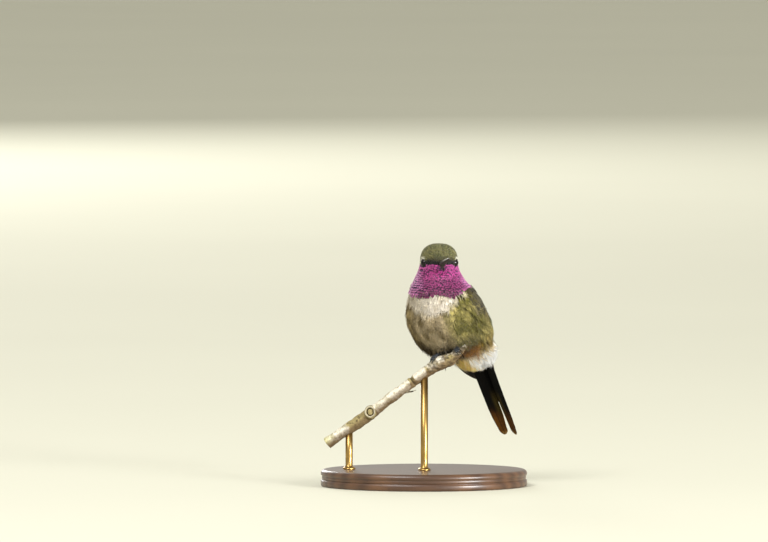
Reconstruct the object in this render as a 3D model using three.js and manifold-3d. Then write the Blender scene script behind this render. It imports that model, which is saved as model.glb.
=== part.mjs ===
// A male woodstar hummingbird, life size, sitting upright on a cut length of twig that two rods hold
// over an oval wooden base. Millimetres, +Z up. The head looks along -Y, the breast is turned towards
// the bird's own right, and the origin is the centre of the base's underside.
import * as THREE from "three";
import { mergeVertices } from "three/addons/utils/BufferGeometryUtils.js";
import Module from "manifold-3d";

const wasm = await Module();
wasm.setup();

// ---------- Driving dimensions ----------
const DEG = Math.PI / 180;
const GAP = 0.2; // clearance between neighbouring pieces

const HEAD_AT = new THREE.Vector3(4.5, -5, 66.7); // middle of the skull
const HEAD_YAW = 5 * DEG; // positive turns towards the bird's left
const BODY_AT = new THREE.Vector3(7.6, 0, 49); // middle of the trunk
const BODY_YAW = -38 * DEG;
const BODY_PITCH = 55 * DEG; // 90 degrees stands upright

const TAIL_AT = new THREE.Vector3(18.2, 10.5, 35.4); // where the tail leaves its coverts
const TAIL_WAY = new THREE.Vector3(0.325, 0.45, -0.832).normalize();
const TAIL_DROOP = 19 * DEG; // the outer edges hang below the middle
const TAIL_LENGTH = 24.9; // from the coverts to the tips of the outer feathers
const TAIL_HIDDEN = 6; // further length that lies inside the coverts

const EYE_RADIUS = 1.4;
const BILL_LENGTH = 13; // from the forehead feathers to the tip
const BILL_RADIUS = 1.05; // at the forehead
const TAIL_THICKNESS = 0.6;
const TOE_RADIUS = 0.31;
const SHANK_RADIUS = 0.42;

const BASE_LENGTH = 62;
const BASE_WIDTH = 50;
const BASE_HEIGHT = 5;
const ROD_RADIUS = 1.1;

// ---------- Directions ----------
const point = (x, y, z) => new THREE.Vector3(x, y, z);
const sum = (at, ...terms) =>
  terms.reduce((p, [way, length]) => p.addScaledVector(way, length), at.clone());

// Left, dorsal and cranial directions of a part of the bird. Yaw 0 faces -Y.
function stance(yaw, pitch) {
  const ahead = point(Math.sin(yaw), -Math.cos(yaw), 0);
  const left = point(Math.cos(yaw), Math.sin(yaw), 0);
  const cranial = sum(point(0, 0, Math.sin(pitch)), [ahead, Math.cos(pitch)]);
  const dorsal = sum(point(0, 0, Math.cos(pitch)), [ahead, -Math.sin(pitch)]);
  return { left, dorsal, cranial };
}
const head = stance(HEAD_YAW, 90 * DEG);
const body = stance(BODY_YAW, BODY_PITCH);

// A place on the bird, as distances to its left, dorsally and cranially from the middle of a part.
const placed = (at, part, left, dorsal, cranial) =>
  sum(at, [part.left, left], [part.dorsal, dorsal], [part.cranial, cranial]);
const onHead = (left, dorsal, cranial) => placed(HEAD_AT, head, left, dorsal, cranial);
const onBody = (left, dorsal, cranial) => placed(BODY_AT, body, left, dorsal, cranial);

// ---------- The plumage's outer form ----------
// Each mass is an ellipsoid with its half sizes to the left, dorsally and cranially. Seen from the
// front, the skull and brows are squarer, with this exponent in place of 2. Neighbouring masses flow
// into each other over the blend distance.
const SQUARED = 2.5;
const MASSES = [
  { at: onHead(-0.1, 0, 0), size: [5.3, 6.0, 6.0], part: head, blend: 0, square: SQUARED }, // skull
  { at: onHead(-0.1, -0.9, 1.9), size: [5, 5, 4.1], part: head, blend: 2, square: SQUARED }, // brows
  { at: onHead(0, -4.0, 0.2), size: [2.8, 4.2, 2.5], part: head, blend: 2.5 }, // face, to the bill
  { at: onHead(0, -0.8, -7.5), size: [8.4, 6.6, 3.8], part: head, blend: 3.8 }, // throat ruff
  { at: onHead(0.2, 3.0, -6.4), size: [6.7, 6.0, 6.6], part: head, blend: 4 }, // nape and mantle
  { at: onBody(-0.4, -1.2, 5.2), size: [9.8, 8.8, 8.2], part: body, blend: 5 }, // breast
  { at: onBody(-0.5, 0, 1.2), size: [11.8, 9.7, 10.3], part: body, blend: 4 }, // belly
  { at: onBody(5.3, 0.4, -4.4), size: [5.2, 6.2, 6.9], part: body, blend: 4 }, // left flank
  { at: onBody(-6.6, 0.2, -4.2), size: [5.7, 6.5, 7.5], part: body, blend: 4 }, // right flank
  { at: onBody(0.9, 2.6, -13.4), size: [6.2, 5.0, 5.2], part: body, blend: 5 }, // rump and coverts
];

// Signed distance to one mass, near enough close to its surface.
function toMass({ at, size, part, square = 2 }, p) {
  const away = p.clone().sub(at);
  const wide = Math.abs(away.dot(part.left)) / size[0];
  const deep = Math.abs(away.dot(part.dorsal)) / size[1];
  const high = Math.abs(away.dot(part.cranial)) / size[2];
  const frontal = Math.max((wide ** square + high ** square) ** (1 / square), 1e-9);
  const scaled = Math.hypot(frontal, deep);
  const slope = Math.hypot(
    (frontal * (wide / frontal) ** (square - 1)) / size[0],
    deep / size[1],
    (frontal * (high / frontal) ** (square - 1)) / size[2],
  );
  return slope < 1e-9 ? -Math.min(...size) : (scaled * (scaled - 1)) / slope;
}

// Signed distance to the bird's whole outer form.
function flesh(p) {
  return MASSES.reduce((nearest, mass) => {
    const here = toMass(mass, p);
    if (!mass.blend) return Math.min(nearest, here);
    const share = Math.max(mass.blend - Math.abs(nearest - here), 0) / mass.blend;
    return Math.min(nearest, here) - (share * share * mass.blend) / 4;
  }, Infinity);
}

function outward(p) {
  const step = 0.05;
  const slope = ["x", "y", "z"].map((axis) => {
    const ahead = p.clone();
    const behind = p.clone();
    ahead[axis] += step;
    behind[axis] -= step;
    return flesh(ahead) - flesh(behind);
  });
  return point(...slope).normalize();
}

// ---------- Solids ----------
// A closed geometry as a manifold-3d solid, with shared vertices merged and empty faces dropped.
function solid(geometry) {
  const bare = geometry.clone();
  bare.deleteAttribute("normal");
  bare.deleteAttribute("uv");
  const merged = mergeVertices(bare, 1e-4);
  const corners = [];
  const index = merged.index.array;
  for (let i = 0; i < index.length; i += 3) {
    const [a, b, c] = index.slice(i, i + 3);
    if (a !== b && b !== c && c !== a) corners.push(a, b, c);
  }
  return new wasm.Manifold(
    new wasm.Mesh({
      numProp: 3,
      vertProperties: merged.attributes.position.array,
      triVerts: new Uint32Array(corners),
    }),
  );
}

function geometryOf(shape) {
  const mesh = shape.getMesh();
  const geometry = new THREE.BufferGeometry();
  geometry.setAttribute("position", new THREE.BufferAttribute(mesh.vertProperties, 3));
  geometry.setIndex(new THREE.BufferAttribute(mesh.triVerts, 1));
  geometry.computeVertexNormals();
  return geometry;
}

const largest = (shape) =>
  shape.decompose().reduce((best, piece) => (piece.volume() > best.volume() ? piece : best));

// Moves every vertex of a geometry to where place() says.
function shaped(geometry, place) {
  const at = geometry.attributes.position;
  const from = point(0, 0, 0);
  for (let i = 0; i < at.count; i++) {
    const to = place(from.fromBufferAttribute(at, i).clone(), i);
    at.setXYZ(i, to.x, to.y, to.z);
  }
  return geometry;
}

// A round bar along a curve. radiusAt(share along, angle) gives its outline.
function bar(curve, radiusAt, sides = 8, steps = 12) {
  const frames = curve.computeFrenetFrames(steps);
  const straight = new THREE.CylinderGeometry(1, 1, 1, sides, steps);
  return shaped(straight, (p) => {
    const along = 0.5 - p.y;
    const step = Math.round(along * steps);
    const angle = Math.atan2(p.x, p.z);
    const radius = Math.hypot(p.x, p.z) * radiusAt(along, angle);
    return sum(
      curve.getPointAt(along),
      [frames.normals[step], radius * Math.cos(angle)],
      [frames.binormals[step], -radius * Math.sin(angle)],
    );
  });
}

// A thin blade. edgesAt(share along) gives its two edges, and its faces lie at either side of them.
function blade(edgesAt, thickness, across, along) {
  const flat = new THREE.BoxGeometry(1, 1, 1, across, 1, along);
  return shaped(flat, (p) => {
    const share = p.z + 0.5;
    const [near, far] = edgesAt(share);
    const [nearOn, farOn] = edgesAt(share + 0.01);
    const width = far.clone().sub(near);
    const way = nearOn.add(farOn).sub(near).sub(far);
    const facing = way.cross(width).normalize();
    return sum(near, [width, p.x + 0.5], [facing, p.y * thickness]);
  });
}

// ---------- Flesh: one form, parted by thin cuts ----------
// The line that the form is drawn round, from the skull to the root of the tail, with its yaw.
const SPINE = new THREE.CatmullRomCurve3([
  onHead(0, 0, 0),
  onHead(0.4, 0.6, -8),
  onBody(-0.4, 0, 4),
  onBody(0, 0.6, -6),
  onBody(0.8, 2.6, -14.5),
]);
const CAP_STEPS = 7;
const SPINE_STEPS = 20;
const ROUND_STEPS = 28;

function yawAlong(share) {
  const turned = THREE.MathUtils.smoothstep(share, 0.1, 0.5);
  return THREE.MathUtils.lerp(HEAD_YAW, BODY_YAW, turned);
}

// Distance from a place inside, along a direction, to where the form grown by margin ends.
function reach(from, way, margin) {
  const stride = 0.4;
  let outside = 24;
  while (outside > stride && flesh(sum(from, [way, outside])) > margin) outside -= stride;
  let inner = outside;
  let outer = outside + stride;
  for (let i = 0; i < 20; i++) {
    const middle = (inner + outer) / 2;
    if (flesh(sum(from, [way, middle])) > margin) outer = middle;
    else inner = middle;
  }
  return inner;
}

// The whole form, grown by margin: a capsule laid on the spine, with each vertex pushed out to it.
function wholeForm(margin) {
  const capsule = new THREE.CapsuleGeometry(1, 1, CAP_STEPS, ROUND_STEPS, SPINE_STEPS);
  const normals = capsule.attributes.normal;
  return solid(
    shaped(capsule, (p, i) => {
      const share = 0.5 - THREE.MathUtils.clamp(p.y, -0.5, 0.5);
      const up = SPINE.getTangentAt(share).negate();
      const yaw = yawAlong(share);
      const front = point(Math.cos(yaw), Math.sin(yaw), 0).cross(up).normalize();
      const left = up.clone().cross(front);
      const way = sum(
        point(0, 0, 0),
        [left, normals.getX(i)],
        [up, normals.getY(i)],
        [front, normals.getZ(i)],
      ).normalize();
      const from = SPINE.getPointAt(share);
      return sum(from, [way, reach(from, way, margin)]);
    }),
  );
}

const form = wholeForm(0);
const clearOfForm = wholeForm(GAP);

// The cuts between the parts, from the head down: a place on each and the way that it faces.
const CUTS = [
  { at: onHead(0, -2, -3.4), way: sum(head.cranial, [head.dorsal, 0.14]) },
  { at: onHead(0, -6, -9.6), way: sum(head.cranial, [head.dorsal, -0.14]) },
  { at: onBody(0, 0, 1.5), way: sum(body.cranial, [body.dorsal, 0.1]) },
  { at: onBody(0, 0, -8.6), way: sum(body.cranial, [body.dorsal, 0.35]) },
];

// The part of the form between two cuts, short of each by half the gap. Either cut may be absent.
function between(above, below) {
  let piece = form;
  if (above) {
    const way = above.way.clone().normalize().negate();
    piece = piece.trimByPlane(way.toArray(), way.dot(above.at) + GAP / 2);
  }
  if (below) {
    const way = below.way.clone().normalize();
    piece = piece.trimByPlane(way.toArray(), way.dot(below.at) + GAP / 2);
  }
  return largest(piece);
}

// ---------- Eyes and bill ----------
const EYE_PLACES = { left: onHead(4.1, -2.4, 0.75), right: onHead(-4.3, -2.4, 0.75) };
const eyeball = (at, radius) =>
  solid(new THREE.SphereGeometry(radius, 16, 10).translate(at.x, at.y, at.z));

const BILL_ROOT = onHead(0.1, -5, 0.2);
const BILL_WAY = sum(point(0, 0, 0), [head.dorsal, -1], [head.left, 0.03], [head.cranial, 0.185]);
BILL_WAY.normalize();
const BILL_INSIDE = 3; // the stretch hidden in the face
const BILL_SEAM = -0.12; // height of the gape line over the bill's axis

// The closed bill: slender and straight, deepest at its root, with a rounded tip.
function wholeBill() {
  const tip = sum(BILL_ROOT, [BILL_WAY, BILL_INSIDE + BILL_LENGTH]);
  const radiusAt = (share) => BILL_RADIUS * (0.3 + 0.7 * (1 - share) ** 0.8);
  return solid(bar(new THREE.LineCurve3(BILL_ROOT, tip), radiusAt, 12, 10));
}

// The upper mandible is side 1, the lower one side -1.
function mandible(side) {
  const up = sum(head.cranial, [BILL_WAY, -head.cranial.dot(BILL_WAY)]).normalize();
  const way = up.clone().multiplyScalar(side);
  const seam = sum(BILL_ROOT, [up, BILL_SEAM], [way, GAP / 4]);
  const piece = wholeBill().trimByPlane(way.toArray(), way.dot(seam));
  return largest(piece.subtract(clearOfForm));
}

const headSolid = largest(
  between(null, CUTS[0])
    .subtract(eyeball(EYE_PLACES.left, EYE_RADIUS + GAP))
    .subtract(eyeball(EYE_PLACES.right, EYE_RADIUS + GAP)),
);

// ---------- Tail ----------
// A value read along a list of evenly spaced values.
function sampled(values, share) {
  const place = THREE.MathUtils.clamp(share, 0, 1) * (values.length - 1);
  const first = Math.min(Math.floor(place), values.length - 2);
  return THREE.MathUtils.lerp(values[first], values[first + 1], place - first);
}

// Each fork is a pair of long outer feathers, and the short inner feathers lie over their roots.
// The two sides slope from the middle like a shallow roof.
const tailSide = body.left.clone().setZ(0.2);
tailSide.addScaledVector(TAIL_WAY, -tailSide.dot(TAIL_WAY)).normalize();
const tailUp = tailSide.clone().cross(TAIL_WAY).normalize();
const FORK_INNER = [0.15, 0.15, 0.15, 0.15, 0.3, 0.75, 1.5]; // inner edge, from root to tip
const FORK_OUTER = [2.8, 3.4, 3.8, 3.9, 3.85, 3.6, 2.7];
const SHORT_LENGTH = 9; // how far the inner feathers show past the coverts
const SHORT_WIDTHS = [2.6, 3.2, 3.2, 2.0]; // of each side, from root to tip

// A place on one side of the tail: distances along it, out from its middle and above it.
const onTail = (side, distance, out, lift) =>
  sum(
    TAIL_AT,
    [TAIL_WAY, distance],
    [tailSide, side * out * Math.cos(TAIL_DROOP)],
    [tailUp, lift - out * Math.sin(TAIL_DROOP)],
  );

// A blade on one side of the tail, grown by margin.
function tailBlade(side, length, edges, lift, margin) {
  const edgesAt = (share) => {
    const distance = THREE.MathUtils.lerp(-TAIL_HIDDEN, length + margin, share);
    const [inner, outer] = edges(share);
    return [
      onTail(side, distance, inner - margin, lift),
      onTail(side, distance, outer + margin, lift),
    ];
  };
  return solid(blade(edgesAt, TAIL_THICKNESS + 2 * margin, 2, 16));
}

function fork(side, margin = 0) {
  const edges = (share) => [sampled(FORK_INNER, share), sampled(FORK_OUTER, share)];
  return tailBlade(side, TAIL_LENGTH, edges, 0, margin);
}

function shortFeathers(margin = 0) {
  const edges = (share) => [-0.15, sampled(SHORT_WIDTHS, share)];
  const lift = TAIL_THICKNESS + GAP;
  const [right, left] = [-1, 1].map((side) => tailBlade(side, SHORT_LENGTH, edges, lift, margin));
  return right.add(left);
}

const clearOfTail = fork(-1, GAP).add(fork(1, GAP)).add(shortFeathers(GAP));

// ---------- Wings ----------
// A folded wing runs from its bend at the shoulder to its tip over the root of the tail. Distances
// are to the wing's own side, dorsally and cranially from the middle of the trunk.
const WING_LINE = [
  [9.0, 2.6, 9.5],
  [11.2, 4.2, 4.0],
  [11.4, 5.4, -2.0],
  [9.6, 6.2, -8.0],
  [6.6, 6.2, -14.0],
  [4.4, 5.8, -20.3],
  [2.8, 6.3, -26.2],
];
const WING_WIDTHS = [3.0, 7.8, 8.8, 8.8, 7.8, 6.6, 1.4]; // at the same seven places
const WING_THICKNESSES = [1.2, 1.5, 1.0, 0.7, 0.7, 0.7, 0.6]; // thickest at the shoulder
const WING_LIFT = 0.1; // beyond the gap, so that the flat facets clear the round form

// Moves a place towards or away from the form, by a share of the way to a distance from it.
function laidOn(p, distance, hold) {
  let at = p;
  for (let i = 0; i < 4; i++) at = sum(at, [outward(at), (distance - flesh(at)) * hold]);
  return at;
}

function wing(side) {
  const line = new THREE.CatmullRomCurve3(
    WING_LINE.map(([out, dorsal, cranial]) => onBody(side * out, dorsal, cranial)),
  );
  const sheet = new THREE.BoxGeometry(1, 1, 1, 5, 1, 18);
  const laid = shaped(sheet, (p) => {
    const share = p.z + 0.5;
    const way = line.getTangent(share);
    const turn = 0.5 * THREE.MathUtils.smoothstep(share, 0.2, 0.9);
    const inward = sum(point(0, 0, 0), [body.dorsal, 1 - turn], [body.left, -side * turn]);
    inward.addScaledVector(way, -inward.dot(way)).normalize();
    const middle = sum(line.getPoint(share), [inward, p.x * side * sampled(WING_WIDTHS, share)]);
    const hold = 1 - THREE.MathUtils.smoothstep(share, 0.55, 0.8);
    const thickness = sampled(WING_THICKNESSES, share);
    const at = laidOn(middle, GAP + thickness / 2 + WING_LIFT, hold);
    const free = way.clone().cross(inward).multiplyScalar(side);
    const facing = free.lerp(outward(at), hold).normalize();
    return sum(at, [facing, p.y * thickness]);
  });
  return largest(solid(laid).subtract(clearOfForm).subtract(clearOfTail));
}

// ---------- Twig ----------
// From the broken tip beside the bird down to the sawn end. The tip comes towards the front.
const TWIG_LINE = new THREE.CatmullRomCurve3([
  point(13.6, -6.7, 44.0),
  point(9.4, -6.0, 39.3),
  point(4.2, -4.9, 36.9),
  point(-0.6, -3.9, 33.6),
  point(-5.2, -2.9, 30.1),
  point(-9.9, -1.9, 26.6),
  point(-14.6, -0.9, 22.9),
  point(-19.3, 0.1, 19.4),
  point(-24.1, 1.1, 16.2),
  point(-29.0, 2.1, 12.7),
]);
const TWIG_RADII = [0.9, 1.7, 2.2, 1.6, 1.4, 1.65, 1.6, 1.9, 1.65, 1.7];
const BREAK_WAY = point(-0.77, 0.1, 0.64).normalize(); // the broken end slants along the underside
const BREAK_AT = TWIG_LINE.getPointAt(0.01);
const BREAK_DEPTH = 0.75; // how far under the twig's middle the break runs

const KNOB_HEIGHT = 0.13;
function twigRadius(share, angle = 0) {
  const knobs = 0.54 * Math.sin(37 * share + 1.3) + 0.46 * Math.sin(2 * angle + 19 * share);
  return sampled(TWIG_RADII, share) + KNOB_HEIGHT * knobs;
}
const wholeTwig = (margin) =>
  solid(bar(TWIG_LINE, (share, angle) => twigRadius(share, angle) + margin, 10, 36));

// The stub of a side twig, sawn off and hollow at its pith.
const STUB_AT = 0.7; // share along the twig
const STUB_WAY = point(-0.12, -0.95, 0.26).normalize();
function stub() {
  const root = TWIG_LINE.getPointAt(STUB_AT);
  const line = new THREE.LineCurve3(root, sum(root, [STUB_WAY, 2.5]));
  const bore = new THREE.LineCurve3(sum(root, [STUB_WAY, 1.9]), sum(root, [STUB_WAY, 3]));
  return { outer: solid(bar(line, () => 1.6, 12, 1)), bore: solid(bar(bore, () => 0.85, 10, 1)) };
}

// A splinter of bark that stands off the underside.
function splinter() {
  const root = TWIG_LINE.getPointAt(0.46);
  const line = new THREE.LineCurve3(
    root.clone().add(point(0.2, 0, -1.1)),
    root.clone().add(point(3.4, -0.5, -0.7)),
  );
  return solid(bar(line, (share) => 0.62 - 0.5 * share, 6, 3));
}

function twig() {
  const { outer, bore } = stub();
  const whole = wholeTwig(0).add(outer).subtract(bore).add(splinter());
  return largest(whole.trimByPlane(BREAK_WAY.toArray(), BREAK_WAY.dot(BREAK_AT) - BREAK_DEPTH));
}

// ---------- Legs ----------
// Each foot grips the twig with three toes round the front and the hind toe round the back. wrap is
// the angle that the middle toe reaches, from the twig's top round its front.
const clearOfTwig = wholeTwig(GAP);
const FEET = {
  left: { share: 0.08, hip: point(9.6, -3.4, 46), hind: 0.8, spread: 0.75, wrap: 120 },
  right: { share: 0.2, hip: point(4.2, -3.4, 44), hind: 0.2, spread: 2.2, wrap: 76 },
};
const TOE_FANS = [-1, 0, 1];

// A toe and its claw, wound round the twig from one angle to another. Angle 0 is on top, and
// positive angles go round the front. start and end are distances along the twig.
function toe(share, angles, start, end) {
  const length = TWIG_LINE.getLength();
  const places = [0, 0.25, 0.5, 0.75, 1].map((step) => {
    const at = THREE.MathUtils.clamp(share + THREE.MathUtils.lerp(start, end, step) / length, 0, 1);
    const way = TWIG_LINE.getTangentAt(at);
    const up = sum(point(0, 0, 1), [way, -way.z]).normalize();
    const front = up.clone().cross(way).normalize();
    const angle = THREE.MathUtils.lerp(angles[0], angles[1], step) * DEG;
    const radius = twigRadius(at) + KNOB_HEIGHT + GAP + TOE_RADIUS + 0.25 * step ** 4;
    return sum(
      TWIG_LINE.getPointAt(at),
      [up, radius * Math.cos(angle)],
      [front, radius * Math.sin(angle)],
    );
  });
  const clawed = (along) => (along < 0.66 ? TOE_RADIUS : TOE_RADIUS * (1.25 - 1.05 * along));
  return solid(bar(new THREE.CatmullRomCurve3(places), clawed, 7, 9));
}

function leg({ share, hip, hind, spread, wrap }) {
  const at = TWIG_LINE.getPointAt(share);
  const way = TWIG_LINE.getTangentAt(share);
  const up = sum(point(0, 0, 1), [way, -way.z]).normalize();
  const ankle = sum(at, [up, twigRadius(share) + KNOB_HEIGHT + GAP + SHANK_RADIUS]);
  const shank = new THREE.LineCurve3(sum(ankle, [up, -0.05]), hip);
  const front = TOE_FANS.map((fan) => {
    const angles = [-14, wrap - 12 * fan * fan];
    return toe(share, angles, fan * 0.25, fan * spread);
  });
  const back = toe(share, [14, -165], 0, hind);
  const whole = [...front, back].reduce(
    (joined, piece) => joined.add(piece),
    solid(bar(shank, () => SHANK_RADIUS, 8, 2)),
  );
  return largest(whole.subtract(clearOfForm).subtract(clearOfTwig));
}

// ---------- Stand ----------
// A turned oval base with a rounded upper edge, and two rods that end under the twig.
function base() {
  const edge = 1.2;
  const rounded = Array.from({ length: 4 }, (_, i) => {
    const angle = i * 30 * DEG;
    const inset = (edge * (1 - Math.cos(angle)) * 2) / BASE_WIDTH;
    return new THREE.Vector2(1 - inset, BASE_HEIGHT - edge * (1 - Math.sin(angle)));
  });
  const foot = [new THREE.Vector2(0, 0), new THREE.Vector2(0.985, 0), new THREE.Vector2(1, 0.4)];
  const top = new THREE.Vector2(0, BASE_HEIGHT);
  const turned = new THREE.LatheGeometry([...foot, ...rounded, top], 48);
  turned.rotateX(90 * DEG);
  return solid(turned.scale(BASE_LENGTH / 2, BASE_WIDTH / 2, 1));
}

function rod(share) {
  const top = TWIG_LINE.getPointAt(share);
  const height = top.z - BASE_HEIGHT;
  const upright = new THREE.CylinderGeometry(ROD_RADIUS, ROD_RADIUS, height, 20);
  upright.rotateX(90 * DEG);
  upright.translate(top.x, top.y, BASE_HEIGHT + height / 2);
  const { outer } = stub();
  return largest(solid(upright).subtract(clearOfTwig).subtract(outer));
}

// ---------- Finishes ----------
const finish = (color, roughness, metalness = 0) =>
  new THREE.MeshStandardMaterial({ color, roughness, metalness });
const CROWN_GREEN = finish(0x6f6c45, 0.7);
const GORGET = finish(0xb5539a, 0.4, 0.3);
const BREAST = finish(0xd1c6b3, 0.9);
const BELLY = finish(0x857650, 0.9);
const COVERTS = finish(0xb59a68, 0.9);
const FLIGHT = finish(0x2c241f, 0.6);
const HORN = finish(0x14110f, 0.35);
const EYE = finish(0x0c0806, 0.08);
const BARK = finish(0xa89a7c, 0.95);
const WOOD = finish(0x4a3222, 0.45);
const BRASS = finish(0xb08d4f, 0.3, 1);

const bird = new THREE.Group();
function add(name, shape, material) {
  const mesh = new THREE.Mesh(geometryOf(shape), material);
  mesh.name = name;
  bird.add(mesh);
}

add("head", headSolid, CROWN_GREEN);
add("neck", between(CUTS[0], CUTS[1]), GORGET);
add("breast", between(CUTS[1], CUTS[2]), BREAST);
add("belly", largest(between(CUTS[2], CUTS[3]).subtract(clearOfTwig)), BELLY);
add("rump", largest(between(CUTS[3], null).subtract(clearOfTwig)), COVERTS);
add("bill_upper", mandible(1), HORN);
add("bill_lower", mandible(-1), HORN);
for (const [name, side] of [["left", 1], ["right", -1]]) {
  add("eye_" + name, eyeball(EYE_PLACES[name], EYE_RADIUS), EYE);
  add("wing_" + name, wing(side), FLIGHT);
  add("tail_fork_" + name, largest(fork(side).subtract(clearOfForm)), FLIGHT);
  add("leg_" + name, leg(FEET[name]), HORN);
}
add("tail_middle", largest(shortFeathers().subtract(clearOfForm)), FLIGHT);
add("perch_twig", twig(), BARK);
add("stand_base", base(), WOOD);
add("stand_rod_low", rod(0.85), BRASS);
add("stand_rod_high", rod(0.32), BRASS);

export default bird;
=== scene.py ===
import itertools

import bpy
import numpy as np
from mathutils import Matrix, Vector, kdtree


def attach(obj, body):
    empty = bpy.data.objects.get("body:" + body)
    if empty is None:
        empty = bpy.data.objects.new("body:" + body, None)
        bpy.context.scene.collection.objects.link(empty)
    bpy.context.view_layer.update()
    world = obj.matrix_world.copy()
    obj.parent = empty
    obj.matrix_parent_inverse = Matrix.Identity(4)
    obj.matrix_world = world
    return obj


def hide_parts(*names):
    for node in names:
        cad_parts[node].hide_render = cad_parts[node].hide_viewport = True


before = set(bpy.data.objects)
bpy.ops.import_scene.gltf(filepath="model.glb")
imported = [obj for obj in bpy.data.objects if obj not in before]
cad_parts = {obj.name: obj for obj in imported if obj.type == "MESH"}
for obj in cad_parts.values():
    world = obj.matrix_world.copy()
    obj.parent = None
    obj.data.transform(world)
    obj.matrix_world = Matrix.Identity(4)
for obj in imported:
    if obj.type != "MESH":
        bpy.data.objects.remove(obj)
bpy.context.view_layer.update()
draw = np.random.default_rng(7)

# ---------- Stand base ----------
# An oval disc turned from beech, with a cove under the rounded bead of its upper edge. It is stained
# dark, which leaves the grain to see, and rubbed to a satin varnish.
BASE_LENGTH, BASE_WIDTH, BASE_HEIGHT = 62.0, 50.0, 5.0
BASE_TURNS, BEAD = 160, 1.2
BEECH_STRETCH, BAND_GAP, FLECK_LENGTH = (1.0, 7.0, 7.0), 4.08, 1.9231
STAIN_DARK, STAIN_LIGHT, STAIN_PORE = 0x452C1B, 0x5E3F27, 0x24160D


def linear(colour):
    """Linear red, green and blue of an sRGB hex colour."""
    shade = np.array([colour >> 16 & 255, colour >> 8 & 255, colour & 255]) / 255
    return np.where(shade <= 0.04045, shade / 12.92, ((shade + 0.055) / 1.055) ** 2.4)


def paint(colour):
    return (*linear(colour), 1.0)


def connect(material, node, inputs):
    """Sets values on a node's sockets, and links other nodes' outputs to them."""
    for socket, value in inputs.items():
        if isinstance(value, bpy.types.NodeSocket):
            material.node_tree.links.new(value, node.inputs[socket])
        else:
            node.inputs[socket].default_value = value


def add(material, kind, inputs=None, **settings):
    """Adds a node with its settings, its values and its links."""
    made = material.node_tree.nodes.new(kind)
    for name, value in settings.items():
        setattr(made, name, value)
    connect(material, made, inputs or {})
    return made


def new_material(name):
    """A material with a shader that has its nodes still to come."""
    material = bpy.data.materials.new(name)
    material.use_nodes = True
    return material


def finish(material, inputs):
    """Sets the shader's own values, and links what varies over the piece to it."""
    connect(material, material.node_tree.nodes["Principled BSDF"], inputs)


def grain(material, size, detail=2.0, stretch=(1.0, 1.0, 1.0), roughness=0.5):
    """Soft noise through the solid. Its cells are size millimetres across before the stretch."""
    object_at = add(material, "ShaderNodeTexCoord").outputs["Object"]
    drawn_out = add(material, "ShaderNodeMapping", {"Vector": object_at, "Scale": stretch})
    noise = add(material, "ShaderNodeTexNoise", {"Vector": drawn_out.outputs[0],
                                                 "Scale": 1000 / size, "Detail": detail,
                                                 "Roughness": roughness})
    return noise.outputs["Fac"]


def build(name, places, faces, material, slot, replaced=(), shades=None, maps=None):
    """Makes a piece from places in millimetres. It rides on the model's one body."""
    mesh = bpy.data.meshes.new(name)
    corners = np.concatenate([np.asarray(group).ravel() for group in faces]).astype(np.int32)
    sizes = np.concatenate([np.full(len(group), np.shape(group)[1]) for group in faces])
    mesh.vertices.add(len(places))
    mesh.vertices.foreach_set("co", np.asarray(places, np.float32).ravel() / 1000)
    mesh.loops.add(len(corners))
    mesh.loops.foreach_set("vertex_index", corners)
    mesh.polygons.add(len(sizes))
    mesh.polygons.foreach_set("loop_start", (np.cumsum(sizes) - sizes).astype(np.int32))
    mesh.update(calc_edges=True)
    mesh.polygons.foreach_set("use_smooth", np.ones(len(sizes), bool))
    for key, values in (shades or {}).items():
        values = np.asarray(values, np.float32)
        if values.ndim == 1:
            mesh.attributes.new(key, "FLOAT", "POINT").data.foreach_set("value", values)
        else:
            opaque = np.column_stack([values, np.ones(len(values), np.float32)])
            layer = mesh.attributes.new(key, "FLOAT_COLOR", "POINT")
            layer.data.foreach_set("color", opaque.ravel())
    for key, values in (maps or {}).items():
        flat = np.asarray(values, np.float32)[corners]
        mesh.uv_layers.new(name=key).data.foreach_set("uv", flat.ravel())
    mesh.materials.append(material)
    piece = bpy.data.objects.new(name, mesh)
    bpy.context.scene.collection.objects.link(piece)
    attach(piece, "root")
    if replaced:
        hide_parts(*replaced)


def all_round(count):
    return np.linspace(0, 2 * np.pi, count, endpoint=False)


def grid_faces(rows, columns):
    """Quads of a grid of places, row by row, closed round."""
    row, column = (index.ravel() for index in np.mgrid[0:rows - 1, 0:columns])
    after = (column + 1) % columns
    quads = [row * columns + column, row * columns + after]
    quads += [(row + 1) * columns + after, (row + 1) * columns + column]
    return np.stack(quads, axis=1)


def facing_out(places, faces):
    """A closed part's faces, turned so that they face outwards."""
    volume = 0.0
    for group in faces:
        for i in range(1, group.shape[1] - 1):
            a, b, c = (places[group[:, k]] for k in (0, i, i + 1))
            volume += np.einsum("ij,ij->", a - places[0], np.cross(b - places[0], c - places[0]))
    return faces if volume > 0 else [group[:, ::-1] for group in faces]


def capped(rings, ends=None):
    """A closed part from rings of places, with a middle to close each end."""
    rows, columns = rings.shape[:2]
    ends = [rings[0].mean(0), rings[-1].mean(0)] if ends is None else ends
    places = np.vstack([rings.reshape(-1, 3), ends])
    ring = np.arange(columns)
    after = np.roll(ring, -1)
    first, last = np.full(columns, rows * columns), np.full(columns, rows * columns + 1)
    tail = (rows - 1) * columns
    faces = [grid_faces(rows, columns), np.stack([first, after, ring], axis=1),
             np.stack([last, ring + tail, after + tail], axis=1)]
    return places, facing_out(places, faces)


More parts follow.
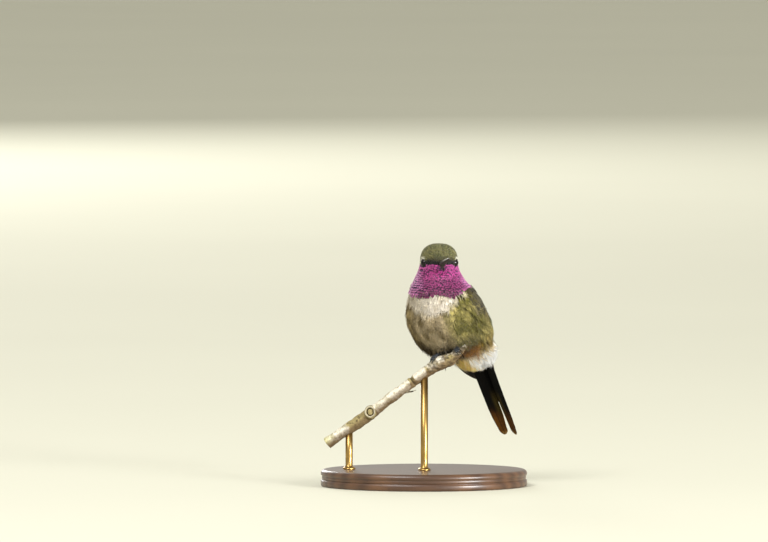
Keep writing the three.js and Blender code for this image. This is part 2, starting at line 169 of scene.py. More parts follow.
def turned_base():
    """An oval disc, in rings from its underside round the edge to the middle of its top."""
    bead = [(BEAD * (1 - np.cos(a)), BASE_HEIGHT - BEAD * (1 - np.sin(a)))
            for a in np.linspace(-0.35, 0.5 * np.pi, 9)]
    cove = [(0.62 - 0.3 * np.cos(a), 2.65 + 0.62 * np.sin(a)) for a in np.linspace(-1.4, 1.0, 7)]
    foot = [(0.5, 0.0), (0.1, 0.25), (0.0, 0.6), (0.0, 1.5), (0.12, 1.85)]
    top = [(inset, BASE_HEIGHT) for inset in (3.0, 9.0, 16.0)]
    rings = np.array(foot + cove + bead + top)
    angle = all_round(BASE_TURNS)
    across = BASE_LENGTH / 2 - rings[:, :1]
    deep = BASE_WIDTH / 2 - rings[:, :1]
    high = np.broadcast_to(rings[:, 1:], (len(rings), BASE_TURNS))
    return capped(np.stack([across * np.cos(angle), deep * np.sin(angle), high], axis=-1))


# Stained beech under satin varnish: dark growth bands 4 mm apart, flecks 0.3 mm wide and 2 mm long,
# and a soft gloss. The wave's bands are a tenth of pi apart at a scale of 1.
BEECH = new_material("stained_beech")
object_at = add(BEECH, "ShaderNodeTexCoord").outputs["Object"]
drawn_out = add(BEECH, "ShaderNodeMapping", {"Vector": object_at, "Scale": BEECH_STRETCH})
band = add(BEECH, "ShaderNodeTexWave", {"Vector": drawn_out.outputs[0], "Distortion": 5.0,
                                        "Scale": 100 * np.pi / (BAND_GAP * BEECH_STRETCH[1]),
                                        "Detail": 3.0, "Detail Scale": 1.2}, bands_direction="Y")
fleck = grain(BEECH, FLECK_LENGTH, 4.0, BEECH_STRETCH, 0.65)
shade = add(BEECH, "ShaderNodeMix", {0: band.outputs["Fac"], 6: paint(STAIN_DARK),
                                     7: paint(STAIN_LIGHT)}, data_type="RGBA")
pore = add(BEECH, "ShaderNodeMapRange", {"Value": fleck, "From Min": 0.56, "From Max": 0.72})
shade = add(BEECH, "ShaderNodeMix", {0: pore.outputs[0], 6: shade.outputs[2],
                                     7: paint(STAIN_PORE)}, data_type="RGBA")
relief = add(BEECH, "ShaderNodeBump", {"Height": fleck, "Strength": 0.25, "Distance": 0.05 / 1000})
finish(BEECH, {"Base Color": shade.outputs[2], "Roughness": 0.4, "Coat Weight": 0.35,
               "Coat Roughness": 0.18, "Normal": relief.outputs[0]})
build("base_oval", *turned_base(), BEECH, "stained_wood", ["stand_base"])

# ---------- Perch twig ----------
# A cut length of a thin dead branch. Its bark has grey-white crusts of lichen on the upper side, a
# waist and a lifted splinter where it cracked, the ring of a lost side twig and a torn tip.
TWIG_KNOTS = [(13.6, -6.7, 44.0), (9.4, -6.0, 39.3), (4.2, -4.9, 36.9), (-0.6, -3.9, 33.6),
              (-5.2, -2.9, 30.1), (-9.9, -1.9, 26.6), (-14.6, -0.9, 22.9), (-19.3, 0.1, 19.4),
              (-24.1, 1.1, 16.2), (-29.0, 2.1, 12.7)]
TWIG_RADII = [0.9, 1.7, 2.2, 1.6, 1.4, 1.65, 1.6, 1.9, 1.65, 1.7]
TWIG_ROWS, TWIG_ROUND = 520, 72
BREAK_DEPTH, SPLINTER_AT, BARK_GRIT = 0.75, 0.46, 0.38462
RING_AT, RING_RADIUS, RING_ROUND = 0.7, 1.6, 64
# Shares of the twig at which each lichen crust starts, is full, thins and is gone, and its density.
LICHEN_ZONES = [(0.0, 0.04, 0.1, 0.16, 0.75), (0.1, 0.2, 0.28, 0.32, 0.55), (0.27, 0.32, 0.36, 0.39, 1),
                (0.4, 0.43, 0.64, 0.69, 1), (0.83, 0.87, 1.1, 1.2, 1)]
# The bare brown bark also gives the twig's darker underside, which is painted shade.
BARK_OLIVE, BARK_BROWN, BARK_DARK, BARE_BARK_AND_UNDERSIDE_SHADE = 0x9F9063, 0x84704F, 0x35291B, 0x66523A
LICHEN_WHITE, LICHEN_GREY, LICHEN_YELLOW = 0xE9E1CF, 0xB9B096, 0xB3AE4E
TORN_WOOD = 0x8F7350


def curve_through(knots, steps=400):
    """A smooth line through the knots."""
    knots = np.array(knots, float)
    padded = np.vstack([2 * knots[0] - knots[1], knots, 2 * knots[-1] - knots[-2]])
    share = np.linspace(0, len(knots) - 1, steps)
    first = np.minimum(share.astype(int), len(knots) - 2)
    t = (share - first)[:, None]
    a, b, c, d = (padded[first + i] for i in range(4))
    bent = (2 * a - 5 * b + 4 * c - d) * t**2 + (3 * b - a - 3 * c + d) * t**3
    return 0.5 * (2 * b + (c - a) * t + bent)


def lengths_along(line):
    return np.concatenate([[0], np.cumsum(np.linalg.norm(np.diff(line, axis=0), axis=1))])


def place_at(line, lengths, at):
    """The place on a line at a length along it."""
    return np.stack([np.interp(at, lengths, line[:, i]) for i in range(3)], axis=-1)


def along(line, share):
    """The place at a share of a line's length."""
    lengths = lengths_along(line)
    return place_at(line, lengths, np.asarray(share) * lengths[-1])


def unit(vectors):
    length = np.linalg.norm(vectors, axis=-1, keepdims=True)
    return vectors / np.maximum(length, 1e-9)


def smooth(value, low, high):
    """A soft step from 0 at low to 1 at high."""
    t = np.clip((value - low) / (high - low), 0, 1)
    return t * t * (3 - 2 * t)


def mottle(places, size, seed):
    """Soft random values from 0 to 1 that change over about size millimetres."""
    lattice = np.asarray(places, float) / size + 17.31 * (seed + 1)
    cell = np.floor(lattice).astype(np.int64)
    part = lattice - cell
    part = part * part * (3 - 2 * part)
    total = np.zeros(lattice.shape[:-1])
    for corner in itertools.product((0, 1), repeat=3):
        key = (cell + corner) @ np.array([73856093, 19349663, 83492791])
        key = (key ^ (key >> 13)) * 1274126177
        chance = ((key >> 9) & 0xFFFF) / 0xFFFF
        total = total + chance * np.prod(np.where(corner, part, 1 - part), axis=-1)
    return total


def away(places, middle):
    """Distances of places from a middle."""
    return np.linalg.norm(places - middle, axis=-1)


def mixed(low, high, share):
    """A blend of two colours, as sRGB hex values or as arrays."""
    low, high = (linear(end) if isinstance(end, int) else end for end in (low, high))
    return low + (high - low) * np.asarray(share)[..., None]


def layered(colour, *layers):
    """A colour under layers of others, each given with how much of it shows."""
    for laid, share in layers:
        colour = mixed(colour, laid, share)
    return colour


TWIG_LINE = curve_through(TWIG_KNOTS)
BREAK_WAY, RING_WAY = unit(np.array([-0.77, 0.1, 0.64])), unit(np.array([-0.12, -0.95, 0.26]))


def twig_frame(share):
    """The twig's middle, and its way, upper side and front at a share of its length."""
    way = unit(along(TWIG_LINE, np.minimum(share + 0.004, 1)) -
               along(TWIG_LINE, np.maximum(share - 0.004, 0)))
    up = unit(np.array([0, 0, 1.0]) - way * way[..., 2:])
    return along(TWIG_LINE, share), way, up, np.cross(up, way)


def twig_radius(share):
    return np.interp(share, np.linspace(0, 1, len(TWIG_RADII)), TWIG_RADII)


def over_twig(share, height):
    """The place at a height over the bark of the twig's upper side."""
    middle, _, up, _ = twig_frame(np.array(share))
    return middle + up * (twig_radius(share) + height)


def lichen_cover(share, angle, places):
    """How much of the bark is under pale lichen. Angle 0 is on top."""
    upper = smooth(np.cos(angle - 0.5), -0.55, 0.75)
    zones = np.max([most * smooth(share, start, full) * (1 - smooth(share, thin, gone))
                    for start, full, thin, gone, most in LICHEN_ZONES], axis=0)
    broken = 0.5 * mottle(places, 1.5, 3) + 0.3 * mottle(places, 0.6, 4) + 0.2 * mottle(places, 0.3, 10)
    return smooth(zones * (0.3 + 0.7 * upper) + 0.9 * (broken - 0.5), 0.26, 0.6)


def bark_relief(share, angle, places):
    """Height of the bark over the twig's smooth form."""
    knobs = 0.07 * np.sin(37 * share + 1.3) + 0.06 * np.sin(2 * angle + 19 * share)
    wrinkle = 0.2 * (mottle(places, 1.3, 1) - 0.5) + 0.13 * (mottle(places, 0.55, 2) - 0.5)
    wrinkle = wrinkle * (1 + 0.8 * smooth(share, 0.32, 0.26))
    lane = angle * 2.1 + 1.6 * mottle(places * [0.35, 1, 1], 1.1, 5)
    furrow = -0.09 * smooth(np.abs(np.sin(lane * 2.2)), 0.22, 0.0)
    waist = -0.3 * np.exp(-(((share - 0.398) / 0.008) ** 2)) * smooth(np.cos(angle - 0.8), -0.6, 0.4)
    step = 0.16 * smooth(share, 0.4, 0.407) * (1 - smooth(share, 0.43, 0.5))
    return knobs + wrinkle + furrow + waist + step + 0.08 * lichen_cover(share, angle, places)


def bark_colour(share, angle, places):
    """Olive brown bark with crusts of lichen over it that are rubbed away in places, bare below and darker
    there as painted shade, and dark where it cracked, partly as painted shade in the notch.
    """
    dull = smooth(share, 0.64, 0.7) * (1 - smooth(share, 0.82, 0.88))
    wear_and_painted_highlight = smooth(share, 0.3, 0.2) * smooth(mottle(places * [0.6, 1, 1], 0.6, 12), 0.42, 0.66)
    # Dark along the crack in the notch: partly the crack's own colour, partly painted shade.
    crack = np.exp(-(((share - 0.397) / 0.005) ** 2)) * smooth(np.cos(angle - 0.8), -0.7, 0.2)
    # Dark mottles over the perch zone.
    perch_dark_mottle = smooth(share, 0.32, 0.26) * smooth(mottle(places * [0.6, 1, 1], 0.5, 13), 0.5, 0.72)
    bark = layered(BARK_BROWN, (BARK_OLIVE, smooth(mottle(places, 2.2, 7), 0.3, 0.7)),
                   (BARK_OLIVE, 0.6 * dull),
                   (BARK_DARK, 0.75 * smooth(mottle(places, 0.5, 6), 0.62, 0.82)))
    crust = layered(LICHEN_GREY, (LICHEN_WHITE, smooth(mottle(places, 0.9, 8), 0.2, 0.6)),
                    (BARK_BROWN, 0.45 * smooth(mottle(places, 0.35, 9), 0.68, 0.85)),
                    (BARE_BARK_AND_UNDERSIDE_SHADE, 0.75 * wear_and_painted_highlight), (LICHEN_YELLOW, 0.55 * smooth(share, 0.93, 1.0)))
    return layered(bark, (crust, lichen_cover(share, angle, places)),
                   # The underside darkened: painted shade.
                   (BARE_BARK_AND_UNDERSIDE_SHADE, 0.8 * smooth(-np.cos(angle + 0.15), -0.35, 0.5)),
                   (BARK_DARK, np.maximum(0.85 * crack, 0.6 * perch_dark_mottle)))


def twig_bark():
    """The length of twig, whose upper end is torn off in splinters, and its colours."""
    share = np.linspace(0, 1, TWIG_ROWS)[:, None] + np.zeros(TWIG_ROUND)
    angle = all_round(TWIG_ROUND) + np.zeros((TWIG_ROWS, 1))
    middle, _, up, front = twig_frame(share)
    out = up * np.cos(angle)[..., None] + front * np.sin(angle)[..., None]
    even = middle + out * twig_radius(share)[..., None]
    places = even + out * bark_relief(share, angle, even)[..., None]
    colours = bark_colour(share, angle, even)
    past = (places - along(TWIG_LINE, 0.01)) @ BREAK_WAY + BREAK_DEPTH
    torn = np.clip(-past, 0, None)[..., None]
    splinters = 0.55 * (mottle(places * [1, 1, 0.3], 0.32, 11)[..., None] - 0.35)
    places = places + BREAK_WAY * torn - BREAK_WAY * np.where(torn > 0, splinters, 0)
    fibre = mixed(TORN_WOOD, BARK_DARK, smooth(mottle(even, 0.3, 12), 0.4, 0.7))
    colours = np.where(torn > 0.05, fibre, colours)
    colours = np.vstack([colours.reshape(-1, 3), linear(TORN_WOOD), linear(TORN_WOOD)])
    return (*capped(places), colours)


def side_ring():
    """The collar of healed bark round a lost side twig, with a dark crack and a plug of wood."""
    root, _, _, _ = twig_frame(np.array(RING_AT))
    across = unit(np.cross(RING_WAY, [0, 0, 1.0]))
    high = np.cross(across, RING_WAY)
    angle = all_round(RING_ROUND)
    outline = [(1.25, 0.9, 0), (1.12, 1.6, 0), (1.04, 2.1, 0), (1.0, 2.32, 1), (0.93, 2.43, 1),
               (0.84, 2.45, 1), (0.76, 2.38, 1), (0.7, 2.2, 0), (0.67, 1.85, 2), (0.6, 1.7, 2),
               (0.54, 1.85, 2), (0.5, 2.08, 0), (0.4, 2.16, 0), (0.2, 2.2, 0)]
    rings, colours = [], []
    for radius, height, kind in outline:
        ring = root + RING_WAY * height + RING_RADIUS * radius * (
            across * np.cos(angle)[:, None] * 0.98 + high * np.sin(angle)[:, None] * 1.12)
        ring = ring + RING_WAY * 0.16 * (mottle(ring, 0.7, 20)[:, None] - 0.5)
        outwards = unit(ring - root - RING_WAY * height)
        ring = ring + outwards * 0.2 * (mottle(ring, 0.9, 21)[:, None] - 0.5)
        shade = [BARK_OLIVE, LICHEN_GREY, BARK_DARK][kind]
        rings.append(ring)
        colours.append(mixed(shade, BARK_DARK, 0.5 * mottle(ring, 0.5, 22)))
    colours = np.vstack([*colours, linear(BARK_OLIVE), linear(BARK_OLIVE)])
    return (*capped(np.array(rings)), colours)


def tube(line, radii, sides, flat=1.0):
    """A closed bar along a line of places, with a radius at each, and a flattened section."""
    line = np.asarray(line, float)
    radii = np.asarray(radii, float)
    way = unit(np.gradient(line, axis=0))
    side = np.zeros_like(way)
    side[0] = unit(np.cross(way[0], [0.31, 0.2, 0.93]))
    for i in range(1, len(line)):
        side[i] = unit(side[i - 1] - way[i] * (side[i - 1] @ way[i]))
    lift = np.cross(way, side)
    angle = all_round(sides)
    ring = side[:, None] * np.cos(angle)[:, None] + flat * lift[:, None] * np.sin(angle)[:, None]
    return capped(line[:, None] + ring * radii[:, None, None])


def gathered(parts):
    """Joins lists of places, faces and further arrays into one of each."""
    places, faces, extras, first = [], [], [], 0
    for part in parts:
        places.append(part[0])
        faces += [np.asarray(group) + first for group in part[1]]
        extras.append(part[2:])
        first += len(part[0])
    return (np.vstack(places), faces, *(np.concatenate(extra) for extra in zip(*extras)))


def lifted_splinter():
    """A sliver of bark that stands off the underside, dark with pale grey mottles."""
    root = along(TWIG_LINE, SPLINTER_AT)
    line = curve_through([root + (-0.6, -0.3, -1.15), root + (0.6, -0.6, -1.25),
                          root + (2.2, -0.7, -1.0), root + (3.5, -0.6, -0.62)], 24)
    radii = np.interp(np.linspace(0, 1, 24), [0, 0.3, 0.8, 1], [0.5, 0.5, 0.28, 0.06])
    places, faces = tube(line, radii, 10, 0.6)
    places = places + 0.16 * (mottle(places, 0.4, 30)[:, None] - 0.5)
    colours = mixed(BARK_DARK, LICHEN_GREY, smooth(mottle(places, 0.6, 31), 0.5, 0.75))
    return places, faces, colours


def speckled(material, shade, speck, low, high, start=0.0, end=1.0):
    """A shade that runs from low to high times its brightness as the speck goes from start to end."""
    tone = add(material, "ShaderNodeMapRange", {"Value": speck, "From Min": start, "From Max": end,
                                                "To Min": low, "To Max": high})
    return add(material, "ShaderNodeVectorMath", {0: shade, "Scale": tone.outputs[0]},
               operation="SCALE").outputs[0]


# Dead bark with crusted lichen: matt, pale grey-white over olive brown, and gritty at 0.4 mm.
BARK = new_material("lichened_bark")
stain = add(BARK, "ShaderNodeAttribute", attribute_name="bark").outputs["Color"]
grit = grain(BARK, BARK_GRIT, 5.0, roughness=0.7)
relief = add(BARK, "ShaderNodeBump", {"Height": grit, "Strength": 0.8, "Distance": 0.18 / 1000})
finish(BARK, {"Base Color": speckled(BARK, stain, grit, 0.62, 1.25, 0.3, 0.7), "Roughness": 0.92,
              "Specular IOR Level": 0.25, "Normal": relief.outputs[0]})
places, faces, colours = gathered([twig_bark(), side_ring(), lifted_splinter()])
build("twig", places, faces, BARK, "bark", ["perch_twig"], {"bark": colours})

# ---------- Stand rods ----------
# Two drawn brass rods with a turned collar at the foot. They are pressed into holes in the base, and
# the twig is pinned on their upper ends.
ROD_RADIUS, ROD_ROUND, BRUSH_GAP, TARNISH = 1.1, 48, 0.22222, 4.5455
ROD_SHARES = {"low": 0.85, "high": 0.32}
BRASS_WARM, BRASS_DULL = 0xC9A561, 0x8E7040


def stand_rod(share):
    """A rod from its collar, which is sunk into the base, up into the underside of the twig."""
    top = along(TWIG_LINE, share)
    outline = [(1.9, 4.8), (1.9, 5.25), (1.8, 5.45), (1.55, 5.6), (1.35, 5.7), (1.25, 5.9),
               (ROD_RADIUS, 6.1), (ROD_RADIUS, 9.0), (ROD_RADIUS, top[2] - 0.6 * twig_radius(share))]
    angle = all_round(ROD_ROUND)
    return capped(np.array([np.stack([top[0] + radius * np.cos(angle), top[1] + radius * np.sin(angle),
                                      0 * angle + height], axis=-1) for radius, height in outline]))


# Drawn brass, lightly brushed: a warm metal with faint lines 0.2 mm apart, clouds of tarnish 5 mm
# across and a soft highlight.
DRAWN_BRASS = new_material("drawn_brass")
brushed = grain(DRAWN_BRASS, BRUSH_GAP, 3.0, (1.0, 1.0, 0.03))
gloss = add(DRAWN_BRASS, "ShaderNodeMapRange", {"Value": brushed, "To Min": 0.2, "To Max": 0.42})
tint = add(DRAWN_BRASS, "ShaderNodeMix", {0: grain(DRAWN_BRASS, TARNISH), 6: paint(BRASS_WARM),
                                          7: paint(BRASS_DULL)}, data_type="RGBA")
relief = add(DRAWN_BRASS, "ShaderNodeBump", {"Height": brushed, "Strength": 0.2,
                                             "Distance": 0.03 / 1000})
finish(DRAWN_BRASS, {"Base Color": tint.outputs[2], "Metallic": 1.0, "Roughness": gloss.outputs[0],
                     "Normal": relief.outputs[0]})
for name, share in ROD_SHARES.items():
    build("rod_" + name, *stand_rod(share), DRAWN_BRASS, "brass", ["stand_rod_" + name])

# ---------- Feet ----------
# Short bare shanks and four long toes each, three to the front and one behind. They are covered in
# small horny plates and close round the twig. The claws are black, curved and pointed.
TOE_RADIUS, SHANK_RADIUS, TOE_CLEARANCE = 0.31, 0.42, 0.26
FEET = {"left": {"share": 0.08, "hip": (9.6, -3.4, 46.0), "hind": 0.8, "skew": 0.0,
                 "spread": 0.75, "wrap": 120},
        "right": {"share": 0.2, "hip": (4.2, -3.4, 44.0), "hind": 0.2, "skew": 2.3,
                  "spread": 0.8, "wrap": 76}}
PLATE_SLATE, PLATE_DARK, CLAW_BLACK = 0x41464D, 0x17181B, 0x0B0A0A
PLATES, SHANK_PLATES, CLAW_FROM, PLATE_GRIT = 9, 8, 0.72, 0.28571
TOE_ROWS, SHANK_ROWS, TOE_ROUND = 90, 40, 14
# Degrees round the twig from its top towards the front: where a front toe starts, how much less the
# two outer ones wrap, and where the hind toe starts and ends.
TOE_START, OUTER_SHORTER, HIND_WRAP = -14, 12, (14, -165)


def toe(share, angles, start, end):
    """A toe wound round the twig, with swollen plates, and its claw."""
    step = np.array([0, 0.25, 0.5, 0.75, 1])
    at = np.clip(share + (start + (end - start) * step) / lengths_along(TWIG_LINE)[-1], 0, 1)
    middle, _, up, front = twig_frame(at)
    angle = np.radians(angles[0] + (angles[1] - angles[0]) * step)[:, None]
    radius = (twig_radius(at) + TOE_CLEARANCE + TOE_RADIUS + 0.3 * step**4)[:, None]
    knots = middle + radius * (up * np.cos(angle) + front * np.sin(angle))
    line = curve_through(knots, TOE_ROWS)
    part = np.linspace(0, 1, TOE_ROWS)
    plate = 1 + 0.13 * np.abs(np.sin(np.pi * PLATES * part / CLAW_FROM)) ** 0.6
    pads = 1 + 0.16 * np.exp(-(((part - 0.33) / 0.04) ** 2)) + 0.2 * np.exp(
        -(((part - CLAW_FROM + 0.06) / 0.05) ** 2))
    claw = np.clip((part - CLAW_FROM) / (1 - CLAW_FROM), 0, 1)
    radii = TOE_RADIUS * np.where(part < CLAW_FROM, 0.86 * plate * pads, 0.8 - 0.74 * claw**0.9)
    horn = np.repeat(smooth(part, CLAW_FROM - 0.03, CLAW_FROM), TOE_ROUND)
    ridge = np.repeat((plate - 1) / 0.13, TOE_ROUND)
    return (*tube(line, radii, TOE_ROUND), np.append(horn, [0, 1]), np.append(ridge, [0, 0]))


def foot(share, hip, hind, skew, spread, wrap):
    """A shank and four toes. Share is the foot's place on the twig, skew, spread and hind set where
    the toes end along it, and wrap is how many degrees the front toes go round."""
    ankle = over_twig(share, TOE_CLEARANCE + SHANK_RADIUS)
    part = np.linspace(0, 1, SHANK_ROWS)
    line = ankle + (np.array(hip) - ankle) * part[:, None]
    plate = 1 + 0.1 * np.abs(np.sin(np.pi * SHANK_PLATES * part)) ** 0.6
    ridge = np.append(np.repeat((plate - 1) / 0.1, TOE_ROUND), [0, 0])
    parts = [(*tube(line, SHANK_RADIUS * plate, TOE_ROUND), 0 * ridge, ridge)]
    for fan in (-1, 0, 1):
        angles = TOE_START, wrap - OUTER_SHORTER * abs(fan)
        parts.append(toe(share, angles, fan * 0.25, skew + fan * spread))
    parts.append(toe(share, HIND_WRAP, 0, hind))
    return gathered(parts)


# Horny plates on the toes: slate grey, darker in the creases and worn at 0.3 mm, with a dull gloss.
# The claws are black and shine more.
HORNY_PLATES = new_material("horny_plates")
claw_share = add(HORNY_PLATES, "ShaderNodeAttribute", attribute_name="claw").outputs["Fac"]
ridge_share = add(HORNY_PLATES, "ShaderNodeAttribute", attribute_name="ridge").outputs["Fac"]
grit = grain(HORNY_PLATES, PLATE_GRIT, 3.0)
wear_and_painted_highlight = add(HORNY_PLATES, "ShaderNodeMath", {0: ridge_share, 1: grit}, operation="MULTIPLY")
plate_tone = add(HORNY_PLATES, "ShaderNodeMix", {0: wear_and_painted_highlight.outputs[0], 6: paint(PLATE_DARK),
                                                 7: paint(PLATE_SLATE)}, data_type="RGBA")
foot_tone = add(HORNY_PLATES, "ShaderNodeMix", {0: claw_share, 6: plate_tone.outputs[2],
                                                7: paint(CLAW_BLACK)}, data_type="RGBA")
dull = add(HORNY_PLATES, "ShaderNodeMapRange", {"Value": claw_share, "To Min": 0.55,
                                                "To Max": 0.25})
relief = add(HORNY_PLATES, "ShaderNodeBump", {"Height": grit, "Strength": 0.35,
                                              "Distance": 0.04 / 1000})
finish(HORNY_PLATES, {"Base Color": foot_tone.outputs[2], "Roughness": dull.outputs[0],
                      "Specular IOR Level": 0.5, "Normal": relief.outputs[0]})
for side, sizes in FEET.items():
    places, faces, claw, ridge = foot(**sizes)
    build("foot_" + side, places, faces, HORNY_PLATES, "scaled_skin", ["leg_" + side],
          {"claw": claw, "ridge": ridge})

# ---------- Skin ----------
# The bird's body under its coat, one form from the brow to the root of the tail. It is thin soft
# skin with the pits of the feathers, drawn in round the bill and puckered into a lid round each eye.
HEAD_AT, HEAD_YAW, HEAD_PITCH = np.array([4.5, -5.0, 66.7]), 5, 90
BODY_AT, BODY_YAW, BODY_PITCH = np.array([7.6, 0.0, 49.0]), -38, 55


def stance(yaw, pitch):
    """The left, dorsal and cranial directions of a part of the bird, as rows."""
    yaw, pitch = np.radians([yaw, pitch])
    ahead = np.array([np.sin(yaw), -np.cos(yaw), 0])
    left = np.array([np.cos(yaw), np.sin(yaw), 0])
    cranial = np.array([0, 0, np.sin(pitch)]) + ahead * np.cos(pitch)
    dorsal = np.array([0, 0, np.cos(pitch)]) - ahead * np.sin(pitch)
    return np.array([left, dorsal, cranial])


HEAD, BODY = stance(HEAD_YAW, HEAD_PITCH), stance(BODY_YAW, BODY_PITCH)


def on_head(left, dorsal, cranial):
    return HEAD_AT + np.array([left, dorsal, cranial]) @ HEAD


def on_body(left, dorsal, cranial):
    return BODY_AT + np.array([left, dorsal, cranial]) @ BODY


# The rounded masses of the whole coat's outer form: middle, half sizes to the left, dorsally and
# cranially, part, the distance over which each flows into the ones before it, and the exponent of
# its outline from the front, which is squarer than an ellipse for the skull and the brows.
MASSES = [(on_head(-0.1, 0, 0), (5.3, 6.0, 6.0), HEAD, 0, 2.5),  # skull
          (on_head(-0.1, -0.9, 1.9), (5.0, 5.0, 4.1), HEAD, 2, 2.5),  # brows and crown
          (on_head(0, -4.0, 0.2), (2.8, 4.2, 2.5), HEAD, 2.5, 2),  # face
          (on_head(0, -0.8, -7.5), (8.4, 6.6, 3.8), HEAD, 3.8, 2),  # throat ruff
          (on_head(0.2, 3.0, -6.4), (6.7, 6.0, 6.6), HEAD, 4, 2),  # nape and mantle
          (on_body(-0.4, -1.2, 5.2), (9.8, 8.8, 8.2), BODY, 5, 2),  # breast
          (on_body(-0.5, 0, 1.2), (11.8, 9.7, 10.3), BODY, 4, 2),  # belly
          (on_body(5.3, 0.4, -4.4), (5.2, 6.2, 6.9), BODY, 4, 2),  # left flank
          (on_body(-6.6, 0.2, -4.2), (5.7, 6.5, 7.5), BODY, 4, 2),  # right flank
          (on_body(0.9, 2.6, -13.4), (6.2, 5.0, 5.2), BODY, 5, 2)]  # rump and coverts
SPINE = curve_through([on_head(0, 0, 0), on_head(0.4, 0.6, -8), on_body(-0.4, 0, 4),
                       on_body(0, 0.6, -6), on_body(0.8, 2.6, -14.5)], 200)
BROW_ROWS, TRUNK_ROWS, RUMP_ROWS, ROUND = 44, 150, 30, 192
EYE_RADIUS, LID_OPENING = 1.4, 1.12
EYES = {"left": on_head(4.1, -2.4, 0.75), "right": on_head(-4.3, -2.4, 0.75)}
BILL_BASE = on_head(0.1, -7.7, 0.1)
CROWN_OLIVE, CROWN_GREEN, BROW_BROWN, LORE_BLACK = 0x7C7748, 0x636339, 0x2E2616, 0x120D08
# The gorget's shades are its magenta scales with their iridescent sheen painted on.
GORGET_PINK, GORGET_ROSE, GORGET_PLUM, GORGET_LILAC = 0xC93A96, 0x92336B, 0x661945, 0xCA7AAE
BREAST_WHITE, BREAST_CREAM = 0xF4EADB, 0xE4D8C2
# The dark brown of the lower belly is painted shade.
BELLY_GREY, BELLY_OLIVE, BELLY_UNDERSIDE_SHADE = 0xBCAB8A, 0x7D6D4B, 0x38290A
FLANK_GREEN, FLANK_LIME = 0x726C34, 0xA69A60
FLANK_BROWN, FLANK_TAWNY = 0x544524, 0x958256
SCAPULAR_BROWN, SCAPULAR_BUFF = 0x3A301E, 0x9A8D5E
VENT_RUFOUS, VENT_BUFF, TUFT_WHITE = 0x845412, 0xF6D274, 0xFFFEFC
BACK_BRONZE, BACK_GREEN = 0x6A6236, 0x4F5A2E
LID_SLATE, SKIN_ROSE, RING_PALE = 0x2B2725, 0x8A6A58, 0xE6E2CE
EYE_RING, SCALES_RISE, LID_ROUND, PIT_SIZE = 1.8, 0.55, 96, 0.5


def form(places):
    """Signed distance to the outer form of the coat, near enough close to it."""
    nearest = None
    for middle, sizes, part, blend, power in MASSES:
        wide, deep, high = np.moveaxis(np.abs((places - middle) @ part.T) / sizes, -1, 0)
        frontal = np.maximum((wide**power + high**power) ** (1 / power), 1e-9)
        scaled = np.hypot(frontal, deep)
        slope = np.linalg.norm([frontal * (wide / frontal) ** (power - 1) / sizes[0],
                                deep / sizes[1],
                                frontal * (high / frontal) ** (power - 1) / sizes[2]], axis=0)
        here = scaled * (scaled - 1) / np.maximum(slope, 1e-6)
        if nearest is None:
            nearest = here
            continue
        share = np.clip(blend - np.abs(nearest - here), 0, None) / blend
        nearest = np.minimum(nearest, here) - share**2 * blend / 4
    return nearest


def outward(places):
    """The way straight out of the outer form, from its distances at four places close by."""
    nudges = 0.04 * np.array([[1, -1, -1], [-1, -1, 1], [-1, 1, -1], [1, 1, 1]])
    return unit(sum(nudge * form(places + nudge)[..., None] for nudge in nudges))


def settled(places, times=3):
    """Moves places straight in or out to the outer form."""
    for _ in range(times):
        places = places - outward(places) * form(places)[..., None]
    return places


def cast(start, way, reach, times):
    """Places where lines that come in along a way from a reach meet the outer form."""
    reach = np.full(way.shape[:-1], reach)
    for _ in range(times):
        reach = reach - 0.7 * form(start + way * reach[..., None])
    return start + way * reach[..., None]


def head_parts(places):
    """How far places lie to the left, dorsally and cranially of the head's middle."""
    return np.moveaxis((places - HEAD_AT) @ HEAD.T, -1, 0)


def body_parts(places):
    """The same from the body's middle."""
    return np.moveaxis((places - BODY_AT) @ BODY.T, -1, 0)


def coat_depth(places):
    """How far the skin lies under the tips of the feathers."""
    _, _, cranial = head_parts(places)
    from_bill = away(places, BILL_BASE)
    on_face = 0.2 + 0.4 * smooth(from_bill, 1.0, 7.0)
    return on_face + (1.5 - on_face) * smooth(cranial, -3.0, -10.0)


def form_grid():
    """Rows of places round the outer form, from the brow to the root of the tail."""
    share = np.concatenate([np.zeros(BROW_ROWS), np.linspace(0, 1, TRUNK_ROWS),
                            np.ones(RUMP_ROWS)])
    tilt = np.concatenate([np.linspace(0.495 * np.pi, 0.01, BROW_ROWS), np.zeros(TRUNK_ROWS),
                           np.linspace(-0.02, -0.495 * np.pi, RUMP_ROWS)])
    start = along(SPINE, share)
    up = unit(along(SPINE, np.maximum(share - 0.01, 0)) - along(SPINE, np.minimum(share + 0.01, 1)))
    yaw = np.radians(HEAD_YAW + (BODY_YAW - HEAD_YAW) * smooth(share, 0.1, 0.5))
    left = np.stack([np.cos(yaw), np.sin(yaw), 0 * yaw], axis=-1)
    front = unit(np.cross(left, up))
    left = np.cross(up, front)
    angle = np.linspace(-np.pi, np.pi, ROUND, endpoint=False)
    level = left[:, None] * np.sin(angle)[:, None] + front[:, None] * np.cos(angle)[:, None]
    way = level * np.cos(tilt)[:, None, None] + (up * np.sin(tilt)[:, None])[:, None]
    return cast(start[:, None], way, 24.0, 45)


def gorget_top(dorsal):
    """Height of the line from the gape to the eye and down behind the cheek."""
    return -0.3 - 0.06 * (dorsal + 6) - 1.0 * np.clip(dorsal - 0.6, 0, None)


def gorget_foot(left):
    """Height of the gorget's lower edge. It hangs lowest left of the middle and rises to a corner."""
    return np.interp(left, [-9.5, -8.0, -5.0, -1.6, 1.0, 2.5, 4.0, 7.0, 9.2],
                     [-8.4, -9.4, -9.5, -9.1, -9.6, -10.0, -9.6, -7.8, -6.9])


